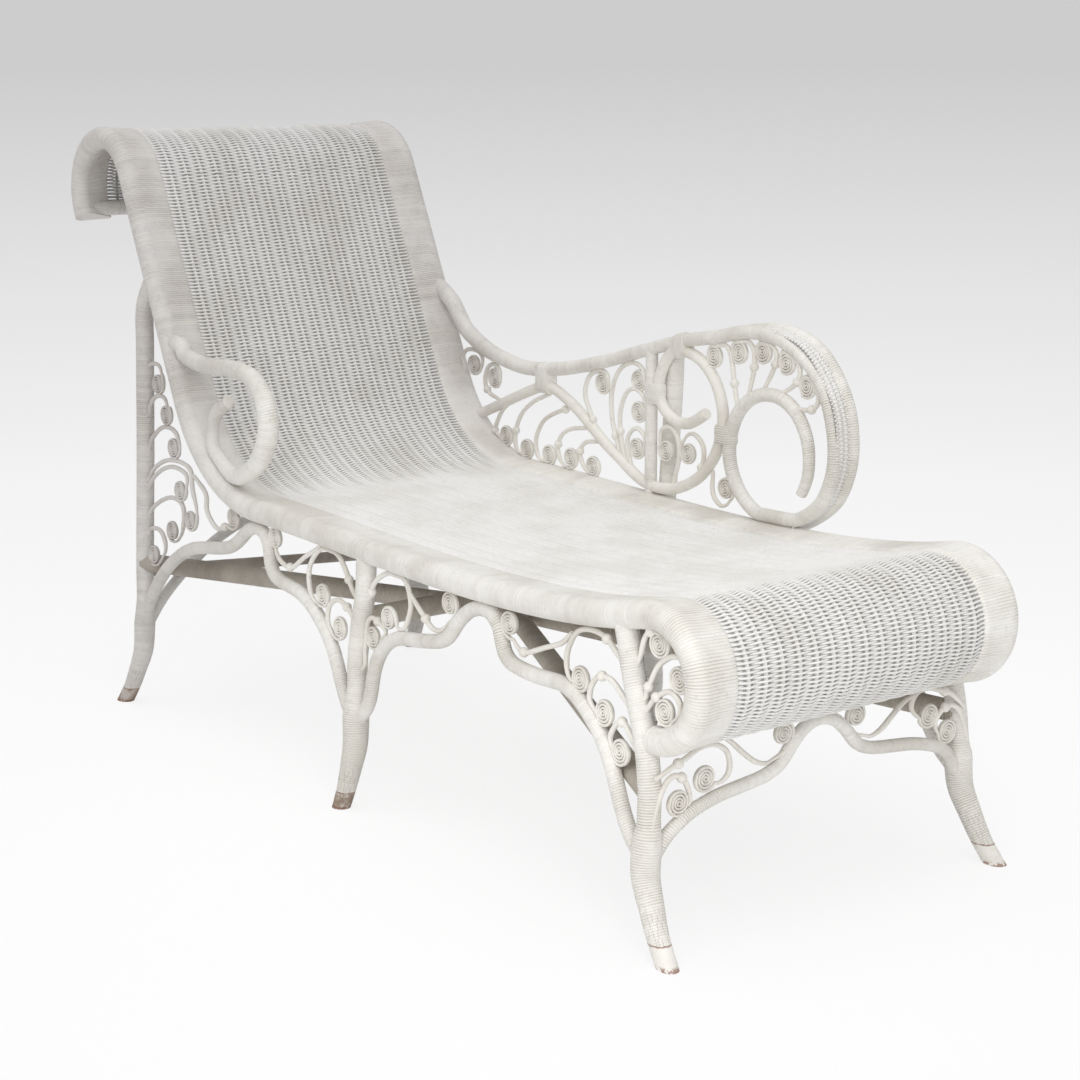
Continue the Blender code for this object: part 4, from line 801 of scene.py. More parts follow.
def paintedMaterial(name, look, toes=False):
    # old oil paint, brushed thick over cane: soft sheen, grime, painted shade in the hollows, small chips
    # down to brown reed
    made = bpy.data.materials.new(name)
    made.use_nodes = True
    tree = made.node_tree
    shader = tree.nodes["Principled BSDF"]
    add = partial(addNode, tree)
    place = add("TexCoord")
    broad, fine, flakes = [add("TexNoise", Vector=place.outputs["Object"], **paintLook[grain])
                           for grain in ("broad", "fine", "flakes")]
    x, _, z = add("SeparateXYZ", place.outputs["Object"]).outputs
    ageing = add("MapRange", broad, *paintLook["ageing"], **eased)
    colour = add("Mix", ageing, linear(look["paint"]), linear(look["aged"]), **rgba)
    dirt = add("MapRange", fine, *paintLook["dirt"], **eased)
    colour = add("Mix", dirt, colour, linear(look["grime"]), **rgba)
    # painted shade: darker towards the head end, where less light falls
    headEndShade = add("MapRange", x, *paintLook["headShadeFrom"], 0.0, look["greys"], **eased)
    colour = add("Mix", headEndShade, colour, linear(paintLook["headEndShade"]), blend_type="MULTIPLY", **rgba)
    capTop = paintLook["capTop"]
    covered = 1.0
    if toes:
        # below the last turn the pole is bare: painted on the front legs, worn down to the cane on the others
        low = add("Math", add("Math", fine, 0.5, **minus), 0.004, z, **timesPlus)
        covered = add("MapRange", low, capTop - 0.0006, capTop, **eased)
    height = add("Math", fine, 0.35, **times)
    if look["pitch"]:
        # turns of 3 mm cane, told by the length along the pole in the UV map and drawn a little coarser to be
        # seen; the grooves between them carry painted shade, and here and there one stands proud or leaves a
        # darker gap
        around, along, _ = add("SeparateXYZ", place.outputs["UV"]).outputs
        sway = add("Math", broad, 1.6, around, **timesPlus)
        turns = add("Math", add("Math", along, look["pitch"], operation="DIVIDE"), sway, **plus)
        turned = add("Math", turns, operation="FRACT")
        within = add("Math", add("Math", turned, 0.5, **minus), operation="ABSOLUTE")
        # thick paint has filled the grooves in places
        filled = add("MapRange", broad, *paintLook["filled"], **eased)
        groove = add("Math", add("MapRange", within, *paintLook["groove"], **eased), filled, **times)
        groove = add("Math", groove, covered, **times)
        number = add("Math", turns, operation="FLOOR")
        each = add("TexWhiteNoise", number, noise_dimensions="1D")
        other = add("TexWhiteNoise", add("Math", number, 0.37, **plus), noise_dimensions="1D")
        gap = add("MapRange", other, *paintLook["gaps"], **eased)
        colour = add("Mix", add("Math", each, 0.5, **times), colour, linear(look["aged"]), **rgba)
        # painted shade in the grooves between turns, darker at the gaps, in the grime colour
        colour = add("Mix", add("Math", groove, gap, **times), colour, linear(look["grime"]), **rgba)
        height = add("Math", groove, -1.2, add("Math", each, 0.45, height, **timesPlus), **timesPlus)
    else:
        # painted shade and dust: the dark web in the weave's pockets, what lies deep between the reeds and a
        # coil's turns, and the undersides
        deep = add("Attribute", attribute_name="paintedShadeAndDust").outputs["Fac"]
        colour = add("Mix", add("Math", deep, 0.95, **times), colour, linear(paintLook["paintedShadeAndDust"]), **rgba)
    chipped = add("MapRange", flakes, look["chips"], look["chips"] + 0.012, **eased)
    colour = add("Mix", chipped, colour, linear(look["chip"]), **rgba)
    if toes:
        backLegs = add("MapRange", x, *paintLook["bareLegs"], **eased)
        patches = add("MapRange", flakes, *paintLook["barePatches"], **eased)
        capped = add("Math", 1.0, covered, **minus)
        bare = add("Math", add("Math", capped, backLegs, **times), patches, **times)
        colour = add("Mix", bare, colour, linear(paintLook["bareToe"]), **rgba)
        off = add("Math", add("Math", low, capTop, **minus), operation="ABSOLUTE")
        ring = add("MapRange", off, *paintLook["capRing"], **eased)
        rim = add("Math", add("MapRange", low, *paintLook["toeRim"], **eased),
                  add("MapRange", fine, *paintLook["rimWear"], **eased), **times)
        edge = add("Math", add("Math", ring, rim, operation="MAXIMUM"), 0.8, **times)
        colour = add("Mix", edge, colour, linear(look["chip"]), **rgba)
        # above it the thick paint has cracked down across the turns
        cracks = paintLook["cracks"]
        columns = add("Math", around, cracks["columns"], **times)
        row = add("Math", add("Math", z, cracks["rowHeight"], operation="DIVIDE"), operation="FLOOR")
        cell = add("Math", row, 17.0, add("Math", columns, operation="FLOOR"), **timesPlus)
        luck = add("TexWhiteNoise", cell, noise_dimensions="1D")
        within = add("Math", columns, operation="FRACT")
        aside = add("Math", add("Math", within, luck, **minus), operation="ABSOLUTE")
        crack = add("MapRange", aside, *cracks["width"], **eased)
        zone = add("Math", add("MapRange", z, *cracks["top"], **eased), covered, **times)
        colour = add("Mix", add("Math", add("Math", crack, zone, **times), 0.45, **times), colour,
                     linear(look["grime"]), **rgba)
    tree.links.new(colour.outputs[2], shader.inputs["Base Color"])
    shader.inputs["Roughness"].default_value = look["roughness"]
    shader.inputs["IOR"].default_value = 1.48  # oil paint
    bump = add("Bump", Strength=0.85, Distance=look["relief"], Height=height.outputs[0])
    tree.links.new(bump.outputs[0], shader.inputs["Normal"])
    return made


finishes = {
    "wrap": ("painted cane wrap", "cane"),
    "toe": ("painted cane wrap with worn toes", "cane"),
    # worn paint, darker for painted shade
    "shade": ("weathered painted wrap with painted shade", "worn"),
    "paint": ("painted rattan pole", "reed"),
    "curl": ("painted bent reed", "reed"),
    "weave": ("painted woven reed", "weft"),
}
materials = {look: paintedMaterial(name, paintLook[paint], look == "toe")
             for look, (name, paint) in finishes.items()}
print("materials made:", len(materials))


# Making pieces

def addObject(name, data):
    made = bpy.data.objects.new(name, data)
    bpy.context.scene.collection.objects.link(made)
    return made


def addPiece(name, shape, look, node):
    # one finished mesh at the origin, riding on the only body
    bmesh.ops.recalc_face_normals(shape, faces=shape.faces)
    mesh = bpy.data.meshes.new(name)
    shape.to_mesh(mesh)
    shape.free()
    mesh.shade_smooth()
    mesh.set_sharp_from_angle(angle=math.radians(50))
    mesh.materials.append(materials[look])
    piece = addObject(name, mesh)
    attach(piece, "root")
    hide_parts(node)


def lookName(node):
    words = node.split("_")
    return words[0] + "".join(word.title() for word in words[1:]) + "Look"


def curvedLine(points, radii, step):
    # a Catmull-Rom curve through the points, drawn again at even steps, with its radii
    points = [Vector(p) for p in points]
    line = []
    widths = []
    for i, (a, b, c, d) in enumerate(runsOfFour(points)):
        spans = max(2, math.ceil((c - b).length / (0.5 * step)))
        for k in range(spans):
            t = k / spans
            line.append(throughFour(a, b, c, d, t))
            widths.append(radii[i] + (radii[i + 1] - radii[i]) * t)
    line.append(points[-1])
    widths.append(radii[-1])
    out = [line[0]]
    outWidths = [widths[0]]
    gone = 0.0
    total = sum((b - a).length for a, b in zip(line, line[1:]))
    even = total / max(2, round(total / step))
    for (a, b), (ra, rb) in zip(zip(line, line[1:]), zip(widths, widths[1:])):
        span = (b - a).length
        while span > 1e-9 and gone + span >= even * len(out) - 1e-9 and len(out) * even < total - 0.5 * even:
            t = (even * len(out) - gone) / span
            out.append(a.lerp(b, t))
            outWidths.append(ra + (rb - ra) * t)
        gone += span
    return out + [line[-1]], outWidths + [widths[-1]]


def evenly(points, step):
    return curvedLine(points, [1.0] * len(points), step)[0]


def sweep(shape, path, section, side, around, paintedShadeAndDust=None):
    # a grid wrapped round the path: section(row, turn) gives the steps towards the side and above,
    # and the last function, of (row, turn), how much painted shade and dust it carries
    rows = len(path)
    uv = shape.loops.layers.uv.verify()
    dark = shape.verts.layers.float.get("paintedShadeAndDust") or shape.verts.layers.float.new("paintedShadeAndDust")
    grid = bmesh.ops.create_grid(shape, x_segments=around, y_segments=rows - 1, size=0.5, calc_uvs=True)
    made = grid["verts"]
    lengths = [0.0]
    for a, b in zip(path, path[1:]):
        lengths.append(lengths[-1] + (b - a).length)
    for row, point in enumerate(path):
        ahead = heading(path, row)
        out = (side - ahead * side.dot(ahead)).normalized()
        above = out.cross(ahead)
        for turn in range(around + 1):
            a, b = section(row, turn % around / around)
            vert = made[row * (around + 1) + turn]
            vert.co = point + out * a + above * b
            vert[dark] = paintedShadeAndDust(row, turn % around / around) if paintedShadeAndDust else 0.0
    # the UV map's length is the length along the path
    for face in {face for vert in made for face in vert.link_faces}:
        for loop in face.loops:
            share = loop[uv].uv.y * (rows - 1)
            low = min(int(share), rows - 2)
            loop[uv].uv.y = lengths[low] + (lengths[low + 1] - lengths[low]) * (share - low)
    bmesh.ops.remove_doubles(shape, verts=made, dist=1e-7)
    rims = [edge for vert in made if vert.is_valid for edge in vert.link_edges if edge.is_boundary]
    bmesh.ops.holes_fill(shape, edges=list(set(rims)), sides=around + 1)


# Wrapped poles

poleLook = {"step": 0.008, "around": 20, "smallAround": 16, "smallUnder": 0.012}


def makePole(made, side=Vector((0, 1, 0))):
    path, radii = curvedLine(made["path"], made["radii"], poleLook["step"])

    def section(row, turn):
        angle = 2 * math.pi * turn
        return radii[row] * math.cos(angle), radii[row] * math.sin(angle)

    shape = bmesh.new()
    around = poleLook["around"] if max(radii) > poleLook["smallUnder"] else poleLook["smallAround"]
    sweep(shape, path, section, side, around)
    look = made["look"]
    if made["name"].startswith("leg"):
        look = "toe"
        whole = shape.verts[:] + shape.edges[:] + shape.faces[:]
        below = bmesh.ops.bisect_plane(shape, geom=whole, dist=1e-7, plane_co=(0, 0, 0), plane_no=(0, 0, -1),
                                       clear_outer=True)
        rim = [part for part in below["geom_cut"] if isinstance(part, bmesh.types.BMEdge)]
        bmesh.ops.holes_fill(shape, edges=rim, sides=64)
    addPiece(lookName(made["name"]), shape, look, made["name"])


crossways = Vector((1, 0, 0))
for made in legs() + sideArches() + longArm() + [shortArm()]:
    makePole(made)
for made in bars() + aprons() + stretchers():
    makePole(made, crossways)
print("poles made")


# Side rails: the pole, and the flat band of cane that runs from it over the outermost stake

bandLook = {"reach": 0.046, "stakeR": 0.0048, "sag": 0.0006, "step": 0.008}


def bandOutline():
    # the rail's circle and the stake's, with the cane drawn flat over both: steps outwards and up
    points = []
    for k in range(18):
        angle = math.radians(100 - 200 * k / 17)
        points.append((railR * math.cos(angle), railR * math.sin(angle)))
    for k in range(7):
        angle = math.radians(-100 - 160 * k / 6)
        points.append((-bandLook["reach"] + bandLook["stakeR"] * math.cos(angle),
                       weaveRise + bandLook["stakeR"] * math.sin(angle)))
    # between the two the cane lies nearly flat
    (x, z), (startX, startZ) = points[-1], points[0]
    for t in (0.25, 0.5, 0.75):
        points.append((x + (startX - x) * t, z + (startZ - z) * t - bandLook["sag"]))
    return points


def makeRail(name, side):
    outline = bandOutline()

    def section(row, turn):
        out, up = outline[round(turn * len(outline)) % len(outline)]
        return out, -side * up

    shape = bmesh.new()
    path = evenly([(p.x, side * halfWidth, p.y) for p in railLine], bandLook["step"])
    sweep(shape, path, section, Vector((0, side, 0)), len(outline))
    addPiece(lookName(f"side_rail_{name}"), shape, "wrap", f"side_rail_{name}")


for name, side in bothSides:
    makeRail(name, side)
print("rails made")


# The weave: stakes along the chaise, and wefts across it, over one and under one

weaveLook = {
    "stakes": 15,
    "stakeR": 0.0029,
    "weftPitch": 0.00295,
    "weftR": 0.00148,
    "seatWeftR": 0.00160,
    "loose": 0.00028,  # how far a weft strays
    "turns": (0.0, 0.14, 0.29, 0.5, 0.71, 0.86),  # where from stake to stake a weft has its points
    "rise": 0.70,  # how high a weft bows over a stake, and how full that bow is
    "seatRise": 0.42,
    "bow": 1.7,
    "seatBow": 2,
    "fringe": {-1: 0.00060, 1: 0.00125},  # how far the wefts part past the last stake
    "overBand": 0.002,
    "trim": (0.020, 0.016),  # off the crest's and the roll's ends
    "pieceRows": 150,
    "settleRows": 34,
    "stakeRows": 6,
    # how dark the weave is painted below its middle: dust, and painted shade
    "dusty": 0.22,
    "moreDustAndShade": 0.60,
    "dustAndShadeDepth": 0.0012,
    "webThick": 0.0003,
    "webShade": 0.56,
    "webRows": 4,
    "openRows": 12,  # past the crest's top the web ends
}


def markUnder(shape, line, ups, dusty):
    # the side away from the sitter, below the weave's middle, is darker: dust, and painted shade; each row
    # has its own share of it
    rows = kdtree.KDTree(len(line))
    for i, point in enumerate(line):
        rows.insert((point.x, 0, point.z), i)
    rows.balance()
    dark = shape.verts.layers.float["paintedShadeAndDust"]
    for vert in shape.verts:
        near, i, _ = rows.find((vert.co.x, 0, vert.co.z))
        under = (near - Vector((vert.co.x, 0, vert.co.z))).dot(ups[i])
        vert[dark] = dusty[i] * max(0.0, min(1.0, under / weaveLook["dustAndShadeDepth"]))


def addWeb(shape, left, right):
    # the shade in the pockets: a thin dark web through the weave's middle, which the reeds cross
    dark = shape.verts.layers.float["paintedShadeAndDust"]
    made = bmesh.ops.create_grid(shape, x_segments=1, y_segments=len(left) - 1, size=1)["verts"]
    for k, vert in enumerate(made):
        vert.co = (left, right)[k % 2][k // 2]
    faces = list({face for vert in made for face in vert.link_faces})
    shell = bmesh.ops.solidify(shape, geom=faces, thickness=weaveLook["webThick"])["geom"]
    for vert in made + [part for part in shell if isinstance(part, bmesh.types.BMVert)]:
        vert[dark] = weaveLook["webShade"]


def curvePiece(name, paths, node, web, under=None):
    # paths: (points, radius); an open line of reed for each
    thickest = max(radius for _, radius in paths)
    curve = bpy.data.curves.new(name, "CURVE")
    curve.dimensions = "3D"
    curve.bevel_depth = thickest
    curve.bevel_resolution = 1
    curve.use_fill_caps = True
    for points, radius in paths:
        spline = curve.splines.new("POLY")
        spline.points.add(len(points) - 1)
        spline.points.foreach_set("co", [c for p in points for c in (p[0], p[1], p[2], 1.0)])
        spline.points.foreach_set("radius", [radius / thickest] * len(points))
    holder = addObject(name + "Line", curve)
    bpy.context.view_layer.update()
    mesh = bpy.data.meshes.new_from_object(holder.evaluated_get(bpy.context.evaluated_depsgraph_get()))
    bpy.data.objects.remove(holder)
    shape = bmesh.new()
    shape.from_mesh(mesh)
    bpy.data.meshes.remove(mesh)
    bmesh.ops.remove_doubles(shape, verts=shape.verts, dist=1e-6)
    shape.verts.layers.float.new("paintedShadeAndDust")
    if under:
        markUnder(shape, *under)
    if len(web[0]) > 1:
        addWeb(shape, *web)
    addPiece(name, shape, "weave", node)


def upwards(line):
    # the weave's upward normals along a line
    return [Vector((-ahead.z, 0, ahead.x)) for ahead in (heading(line, i) for i in range(len(line)))]


def eachIn(first, last, step):
    # every so many rows, and the last
    return list(range(first, last, step)) + [last - 1]


def weaveBounds(line, top):
    # the three stretches of one surface, and the rows where each begins and ends
    cuts = [0] + [next(i for i in range(top, len(line)) if line[i].x > weaveSize[key])
                  for key in ("seatStart", "seatEnd")] + [len(line)]
    return dict(zip(("woven_back", "woven_seat", "woven_foot_roll"), zip(cuts, cuts[1:])))


def weaveParts():
    # the weave's mid-surface from crest to foot roll
    middle = trimmed(offsetRail(weaveRise), *weaveLook["trim"])
    line = evenly([(p.x, 0, p.y) for p in middle], weaveLook["weftPitch"])
    ups = upwards(line)
    top = max(range(len(line)), key=lambda i: line[i].z)
    bounds = weaveBounds(line, top)
    reach = halfWidth - bandLook["reach"] + weaveLook["overBand"]
    half = weaveLook["stakes"] // 2
    gap = 2 * (halfWidth - bandLook["reach"]) / (weaveLook["stakes"] + 0.6)
    lift = weaveLook["stakeR"] + weaveLook["weftR"]
    wavering = [k + share for k in range(-half - 2, half + 2) for share in weaveLook["turns"]]
    # the seat's weave is beaten flat, and the change comes over some rows at each end of it
    seatLow, seatHigh = bounds["woven_seat"]
    flats = []
    for i in range(len(line)):
        share = min((i - seatLow) / weaveLook["settleRows"], (seatHigh - i) / weaveLook["settleRows"])
        share = max(0.0, min(1.0, 0.5 + 0.5 * share))
        flats.append(share * share * (3 - 2 * share))

    def settled(setting, seatSetting, i):
        return weaveLook[setting] + (weaveLook[seatSetting] - weaveLook[setting]) * flats[i]

    def weft(i):
        point, up, along = line[i], ups[i], heading(line, i)
        turn = 1 if i % 2 else -1
        rise = lift * settled("rise", "seatRise", i)
        bow = settled("bow", "seatBow", i)
        points = []
        for share in wavering:
            y = share * gap
            if abs(y) <= reach:
                # each weft bows over one stake and under the next
                wave = math.cos(math.pi * share)
                drift = weaveLook["loose"] * noise.noise((i * 0.31, share * 0.4, 3))
                # past the last stake the wefts part in pairs
                parting = weaveLook["fringe"][1 if share > 0 else -1]
                drift += turn * parting * min(1.0, max(0.0, (abs(share) - half - 0.1) * 4))
                high = rise * turn * math.copysign(abs(wave) ** bow, wave)
                points.append(point + up * high + along * drift + Vector((0, y, 0)))
        return points, settled("weftR", "seatWeftR", i)

    # the crest's inside and the seat's underside are darker still: dust, and painted shade
    dusty = [weaveLook["moreDustAndShade" if i < top or i > seatLow else "dusty"] for i in range(len(line))]
    for node, (low, high) in bounds.items():
        pieces = math.ceil((high - low) / weaveLook["pieceRows"])
        for piece in range(pieces):
            first, last = (low + (high - low) * k // pieces for k in (piece, piece + 1))
            wefts = [weft(i) for i in range(first, last)]
            rows = eachIn(first, last, weaveLook["stakeRows"])
            stakes = [([line[i] + Vector((0, k * gap, 0)) for i in rows], weaveLook["stakeR"])
                      for k in range(-half, half + 1)]
            # the crest's curl keeps its bright holes
            webFirst = max(first, top - weaveLook["openRows"])
            rows = list(range(webFirst, last, weaveLook["webRows"])) + [min(last, len(line) - 1)]
            web = [[line[i] + Vector((0, y, 0)) for i in rows] for y in (-reach, reach)]
            curvePiece(lookName(node) + str(piece + 1), wefts + stakes, node, web, (line, ups, dusty))


weaveParts()
print("weave made")


# Scrollwork: each reed runs into a flat spiral

coilLook = {
    "radius": 0.0214,
    "discR": 0.0164,
    "turns": 4.0,
    "perTurn": 20,
    "centreR": 0.0012,
    "closing": 1.15,  # how the turns widen outwards
    "closeness": 0.47,  # 0.5 is touching
    "depth": 0.0038,
    "around": 10,
    "step": 0.006,
    "point": 0.0028,  # the reed's thin end
    "reedR": 0.0037,
    "standOff": 0.0007,  # the scrollwork's plane stands this far outside the poles' own
    "shade": 0.30,
}
# wooden beads, where a reed is nailed to what it passes: how far along each reed of a panel, 0 for none
beadLook = {"radius": 0.0070, "places": {
    "curls_back": (0, 0, 0, 0, 0, 0, 0.93, 0.2), "curls_back_bay": (0.35, 0.85, 0.75),
    "curls_front_bay": (0.85, 0.35, 0.65), "curls_front_leg": (0.3, 0.65, 0.45, 0.55),
    "curls_foot_roll": (0.45, 0.8, 0.7),
    "curls_front_apron_near": (0.4, 0.8, 0), "curls_front_apron_far": (0.7, 0.4, 0),
    "curls_arm_rear": (0, 0.75), "curls_arm_fan": (0.4, 0.35, 0.9, 0.4, 0.5),
    "curls_arm_middle": (0.9, 0.85, 0.75, 0),
    "curls_arm_post": (0, 0.8), "curls_arm_crown": (0.75, 0.7, 0.65, 0.7, 0.75), "curls_arm_foot": (0,)}}


def curlPanel(name, curls, flat, lift, guides, normal):
    reeds = []
    for curl in curls:
        coil, *reed = [flat(*pair) for pair in pairs(*curl)]
        centre = offGuides(coil, guides, coilLook["discR"])
        ends = smooth([centre] + reed, 3)
        path = [offGuides(point, guides, coilLook["reedR"]) for point in ends[3:-3]] + ends[-3:]
        reeds.append((centre, path))
    return {"name": name, "reeds": reeds, "lift": lift, "normal": Vector(normal)}


def spiral(centre, path):
    # from the coil's middle outwards until it runs on into the reed; its turns thin towards the middle
    turns = coilLook["turns"]
    closing = coilLook["closing"]
    centreR = coilLook["centreR"]
    start = path[0] - centre
    along = path[1] - path[0]
    way = 1 if start.x * along.y - start.y * along.x > 0 else -1
    outer = coilLook["radius"] - coilLook["reedR"]
    spare = max(0.0, start.length - outer)
    first = math.atan2(start.y, start.x)
    count = round(turns * coilLook["perTurn"])
    points = []
    thin = []
    for k in range(count, 0, -1):
        share = k / count
        angle = first - way * share * turns * 2 * math.pi
        left = 1 - share
        radius = centreR + (outer - centreR) * left ** closing
        fall = (outer - centreR) * closing * max(left, 0.08) ** (closing - 1)
        radius += spare * math.exp(-share * turns * 2 * math.pi / 0.6)
        points.append(centre + Vector((math.cos(angle), math.sin(angle))) * radius)
        thin.append(coilLook["closeness"] * fall / turns)
    return points, thin


def makePanel(panel):
    shape = bmesh.new()
    for centre, reed in panel["reeds"]:
        inner, thin = spiral(centre, reed)
        outer = [Vector((p.x, p.y)) for p in evenly([(p.x, p.y, 0) for p in reed], coilLook["step"])]
        for k in range(len(outer)):
            width = thin[len(inner) - 1] + (coilLook["reedR"] - thin[len(inner) - 1]) * min(1.0, k / 5)
            left = len(outer) - 1 - k
            thin.append(coilLook["point"] + (width - coilLook["point"]) * min(1.0, left / 5))
        path = [panel["lift"](p) for p in inner + outer]
        depth = [coilLook["depth"]] * len(inner) + [1.05 * w for w in thin[len(inner):]]

        def section(row, turn):
            angle = 2 * math.pi * turn
            return depth[row] * math.cos(angle), thin[row] * math.sin(angle)

        def coilShade(row, turn):
            # painted shade between a coil's turns
            return coilLook["shade"] * abs(math.sin(2 * math.pi * turn)) ** 3 if row < len(inner) - 8 else 0.0

        sweep(shape, path, section, panel["normal"], coilLook["around"], coilShade)
    addBeads(shape, panel)
    addPiece(lookName(panel["name"]), shape, "curl", panel["name"])


def addBeads(shape, panel):
    name = panel["name"]
    places = beadLook["places"].get(name) or beadLook["places"][name.rsplit("_", 1)[0]]
    for (centre, reed), share in zip(panel["reeds"], places):
        if share:
            run = [centre] + reed
            lengths = [(b - a).length for a, b in zip(run, run[1:])]
            left = share * sum(lengths)
            for a, b, length in zip(run, run[1:], lengths):
                if left <= length:
                    break
                left -= length
            place = panel["lift"](a.lerp(b, min(1.0, left / length)))
            bmesh.ops.create_uvsphere(shape, u_segments=16, v_segments=10, radius=beadLook["radius"],
                                      matrix=Matrix.Translation(place))


for panel in sideCurls() + apronCurls() + armCurls():
    makePanel(panel)
print("scrollwork made")


# Flat cane straps that bind two poles of the long arm: in the arm's fractions, the way the poles run,
# half the space between their centres, the strap's own half thickness, and its length

strapLook = {
    "arm_long_top_rail": (((0.294, 0.550), (1.0, 0.0), 0.0133, 0.0130, 0.030),
                          ((0.640, 0.838), (1.0, 0.26), 0.0078, 0.0118, 0.027)),
    "arm_long_lower_scroll": (((0.5765, 0.58), (0.0, 1.0), 0.0088, 0.0112, 0.032),
                              ((0.7425, 0.44), (0.0, 1.0), 0.0095, 0.0116, 0.028)),
}


def makeStraps():
    for node, straps in strapLook.items():
        shape = bmesh.new()
        for place, way, apart, thick, length in straps:
            run = Vector(way).normalized()
            spots = [armPoint(*place) + run * length * (k / 6 - 0.5) for k in range(7)]

            def section(row, turn):
                angle = 2 * math.pi * turn
                full = thick - (0.0012 if row in (0, 6) else 0.0)  # its ends are pressed down
                high = full * math.sin(angle)
                return full * math.cos(angle), high + math.copysign(apart, high)

            sweep(shape, [Vector((p.x, halfWidth, p.y)) for p in spots], section, Vector((0, 1, 0)), 24)
        addPiece(lookName(node) + "Straps", shape, "wrap", node)


makeStraps()
print("straps made")


# The woven strip round the long arm's bow

stripLook = {"from": 3, "to": 24, "edge": 0.006, "rise": 0.0015, "wave": 0.0028, "webRows": 3}


def makeStrip():
    bow = evenly(outerRailPath()[stripLook["from"]:stripLook["to"]], weaveLook["weftPitch"])
    ups = upwards(bow)
    inner = halfWidth - stripLook["edge"]
    wefts = []
    lines = [[], [], []]
    for i, (point, up) in enumerate(zip(bow, ups)):
        turn = 1 if i % 2 else -1
        run = []
        for k in range(13):
            share = k / 12
            y = inner + (point.y + 0.006 - halfWidth + 0.004) * share
            wave = stripLook["rise"] + stripLook["wave"] * turn * math.cos(math.pi * 4 * share)
            run.append(Vector((point.x, y, point.z)) + up * wave)
        wefts.append((run, weaveLook["weftR"]))
        for k in range(3):
            y = inner + (point.y + 0.010 - halfWidth) * (0.25 + 0.25 * k)
            lines[k].append(Vector((point.x, y, point.z)) + up * stripLook["rise"])
    stakes = [(run[::5] + [run[-1]], weaveLook["stakeR"]) for run in lines]
    web = []
    for end in (0, -1):
        edge = []
        for i in eachIn(0, len(bow), stripLook["webRows"]):
            spot = wefts[i][0][end]
            edge.append(spot + ups[i] * (stripLook["rise"] - (spot - bow[i]).dot(ups[i])))
        web.append(edge)
    curvePiece("armLongWovenStripLook", wefts + stakes, "arm_long_woven_strip", web)


makeStrip()
print("arm strip made")


# Floor, light and camera

stageLook = {
    "skyLow": 0.27,
    "skyHigh": 0.54,
    "floorSize": 150,
    "floorGlow": 0.82,
    "backdrop": "#CDCDCD",
    "fadeFrom": 3.32,
    "floorShades": ((0.29, "#E5E5E5"), (0.56, "#F5F5F5"), (0.745, "#FBFBFB")),
    "suns": {"softTop": ((14, 4, 0), 60, 0.86)},  # turn, spread, strength
    "softboxes": {"footBox": ((2.2, -1.5, 1.5), (0.6, 0.0, 0.25), 1.5, 22)},  # place, aim, width, power
    "lens": 73.43,
    "cameraPlace": (2.690, -1.948, 1.097),
    "cameraTurn": (77.49, 0.0, 52.71),
}


def floorFade(add):
    # painted light: white round the object, then slowly to the backdrop's pale grey with distance, where the
    # light falls off
    away = add("VectorMath", add("TexCoord").outputs["Object"], operation="LENGTH")
    start = stageLook["fadeFrom"]
    near = add("Math", start, add("Math", away, start, **plus), operation="DIVIDE")
    ramp = add("ValToRGB", near)
    stops = ramp.color_ramp.elements
    stops[0].position, stops[0].color = 0.0, linear(stageLook["backdrop"])
    stops[1].position, stops[1].color = 0.92, linear("#FFFFFF")
    for position, shade in stageLook["floorShades"]:
        stops.new(position).color = linear(shade)
    return ramp.outputs[0]


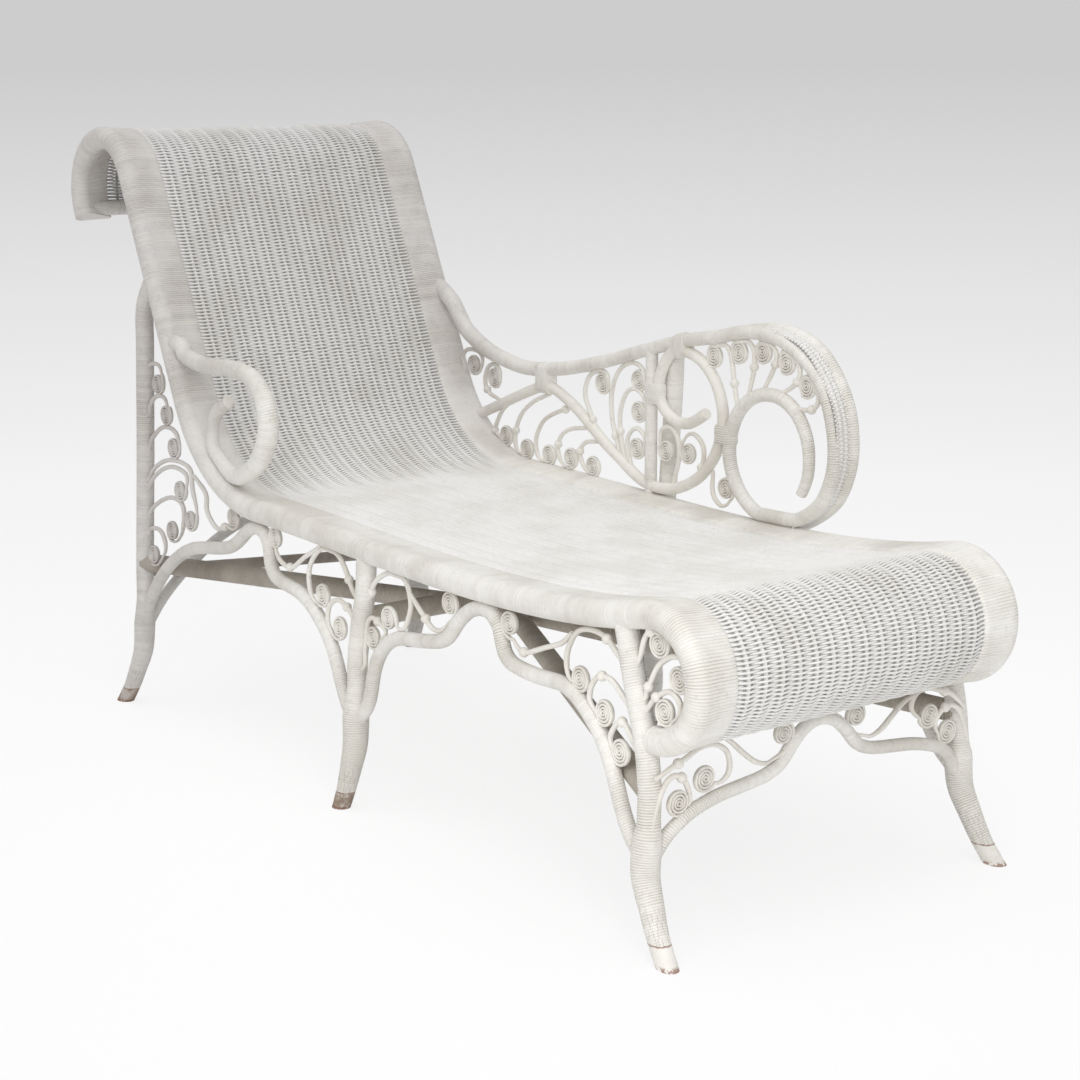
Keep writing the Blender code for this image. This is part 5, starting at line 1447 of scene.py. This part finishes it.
def makeFloor():
    shape = bmesh.new()
    bmesh.ops.create_grid(shape, x_segments=1, y_segments=1, size=stageLook["floorSize"])
    mesh = bpy.data.meshes.new("floor")
    shape.to_mesh(mesh)
    shape.free()
    floor = addObject("floor", mesh)
    made = bpy.data.materials.new("studio floor")
    made.use_nodes = True
    tree = made.node_tree
    add = partial(addNode, tree)
    shader = tree.nodes["Principled BSDF"]
    shader.inputs["Roughness"].default_value = 1.0
    shader.inputs["Specular IOR Level"].default_value = 0.0
    fade = floorFade(add)
    tree.links.new(fade, shader.inputs["Base Color"])
    # the camera sees the floor partly as the white backdrop, so that the object's shadow stays faint
    glow = add("Emission", Color=fade, Strength=1.0)
    seen = add("Math", add("LightPath").outputs["Is Camera Ray"], stageLook["floorGlow"], **times)
    both = add("MixShader", seen, shader, glow)
    tree.links.new(both.outputs[0], tree.nodes["Material Output"].inputs["Surface"])
    mesh.materials.append(made)


def makeSky():
    # a soft dome, brighter overhead; the camera sees the backdrop instead
    world = bpy.data.worlds.new("studio")
    bpy.context.scene.world = world
    world.use_nodes = True
    tree = world.node_tree
    add = partial(addNode, tree)
    _, _, high = add("SeparateXYZ", add("TexCoord").outputs["Generated"]).outputs
    above = add("Math", high, 0.0, operation="MAXIMUM")
    dome = add("Math", above, stageLook["skyHigh"], stageLook["skyLow"], **timesPlus)
    rays = add("LightPath").outputs
    mirrored = add("Math", rays["Is Glossy Ray"], rays["Is Transmission Ray"], operation="MAXIMUM")
    seen = add("Math", rays["Is Camera Ray"], mirrored, operation="MAXIMUM")
    sky = add("Mix", seen, add("CombineColor", dome, dome, dome), linear(stageLook["backdrop"]), **rgba)
    tree.links.new(sky.outputs[2], tree.nodes["Background"].inputs["Color"])
    tree.nodes["Background"].inputs["Strength"].default_value = 1.0


def makeLights():
    for name, (turn, spread, power) in stageLook["suns"].items():
        lamp = bpy.data.lights.new(name, "SUN")
        lamp.angle = math.radians(spread)
        lamp.energy = power
        addObject(name, lamp).rotation_euler = [math.radians(angle) for angle in turn]
    for name, (place, aim, across, power) in stageLook["softboxes"].items():
        lamp = bpy.data.lights.new(name, "AREA")
        lamp.size = across
        lamp.energy = power
        holder = addObject(name, lamp)
        holder.location = place
        holder.rotation_euler = (Vector(aim) - Vector(place)).to_track_quat("-Z", "Y").to_euler()
        holder.visible_camera = False


def makeCamera():
    camera = bpy.data.cameras.new("camera")
    camera.lens = stageLook["lens"]
    camera.sensor_width = 36.0
    camera.sensor_fit = "HORIZONTAL"
    holder = addObject("camera", camera)
    holder.location = stageLook["cameraPlace"]
    holder.rotation_euler = [math.radians(angle) for angle in stageLook["cameraTurn"]]
    bpy.context.scene.camera = holder


makeFloor()
makeSky()
makeLights()
makeCamera()
bpy.context.scene.view_settings.view_transform = "Standard"
print("stage made")
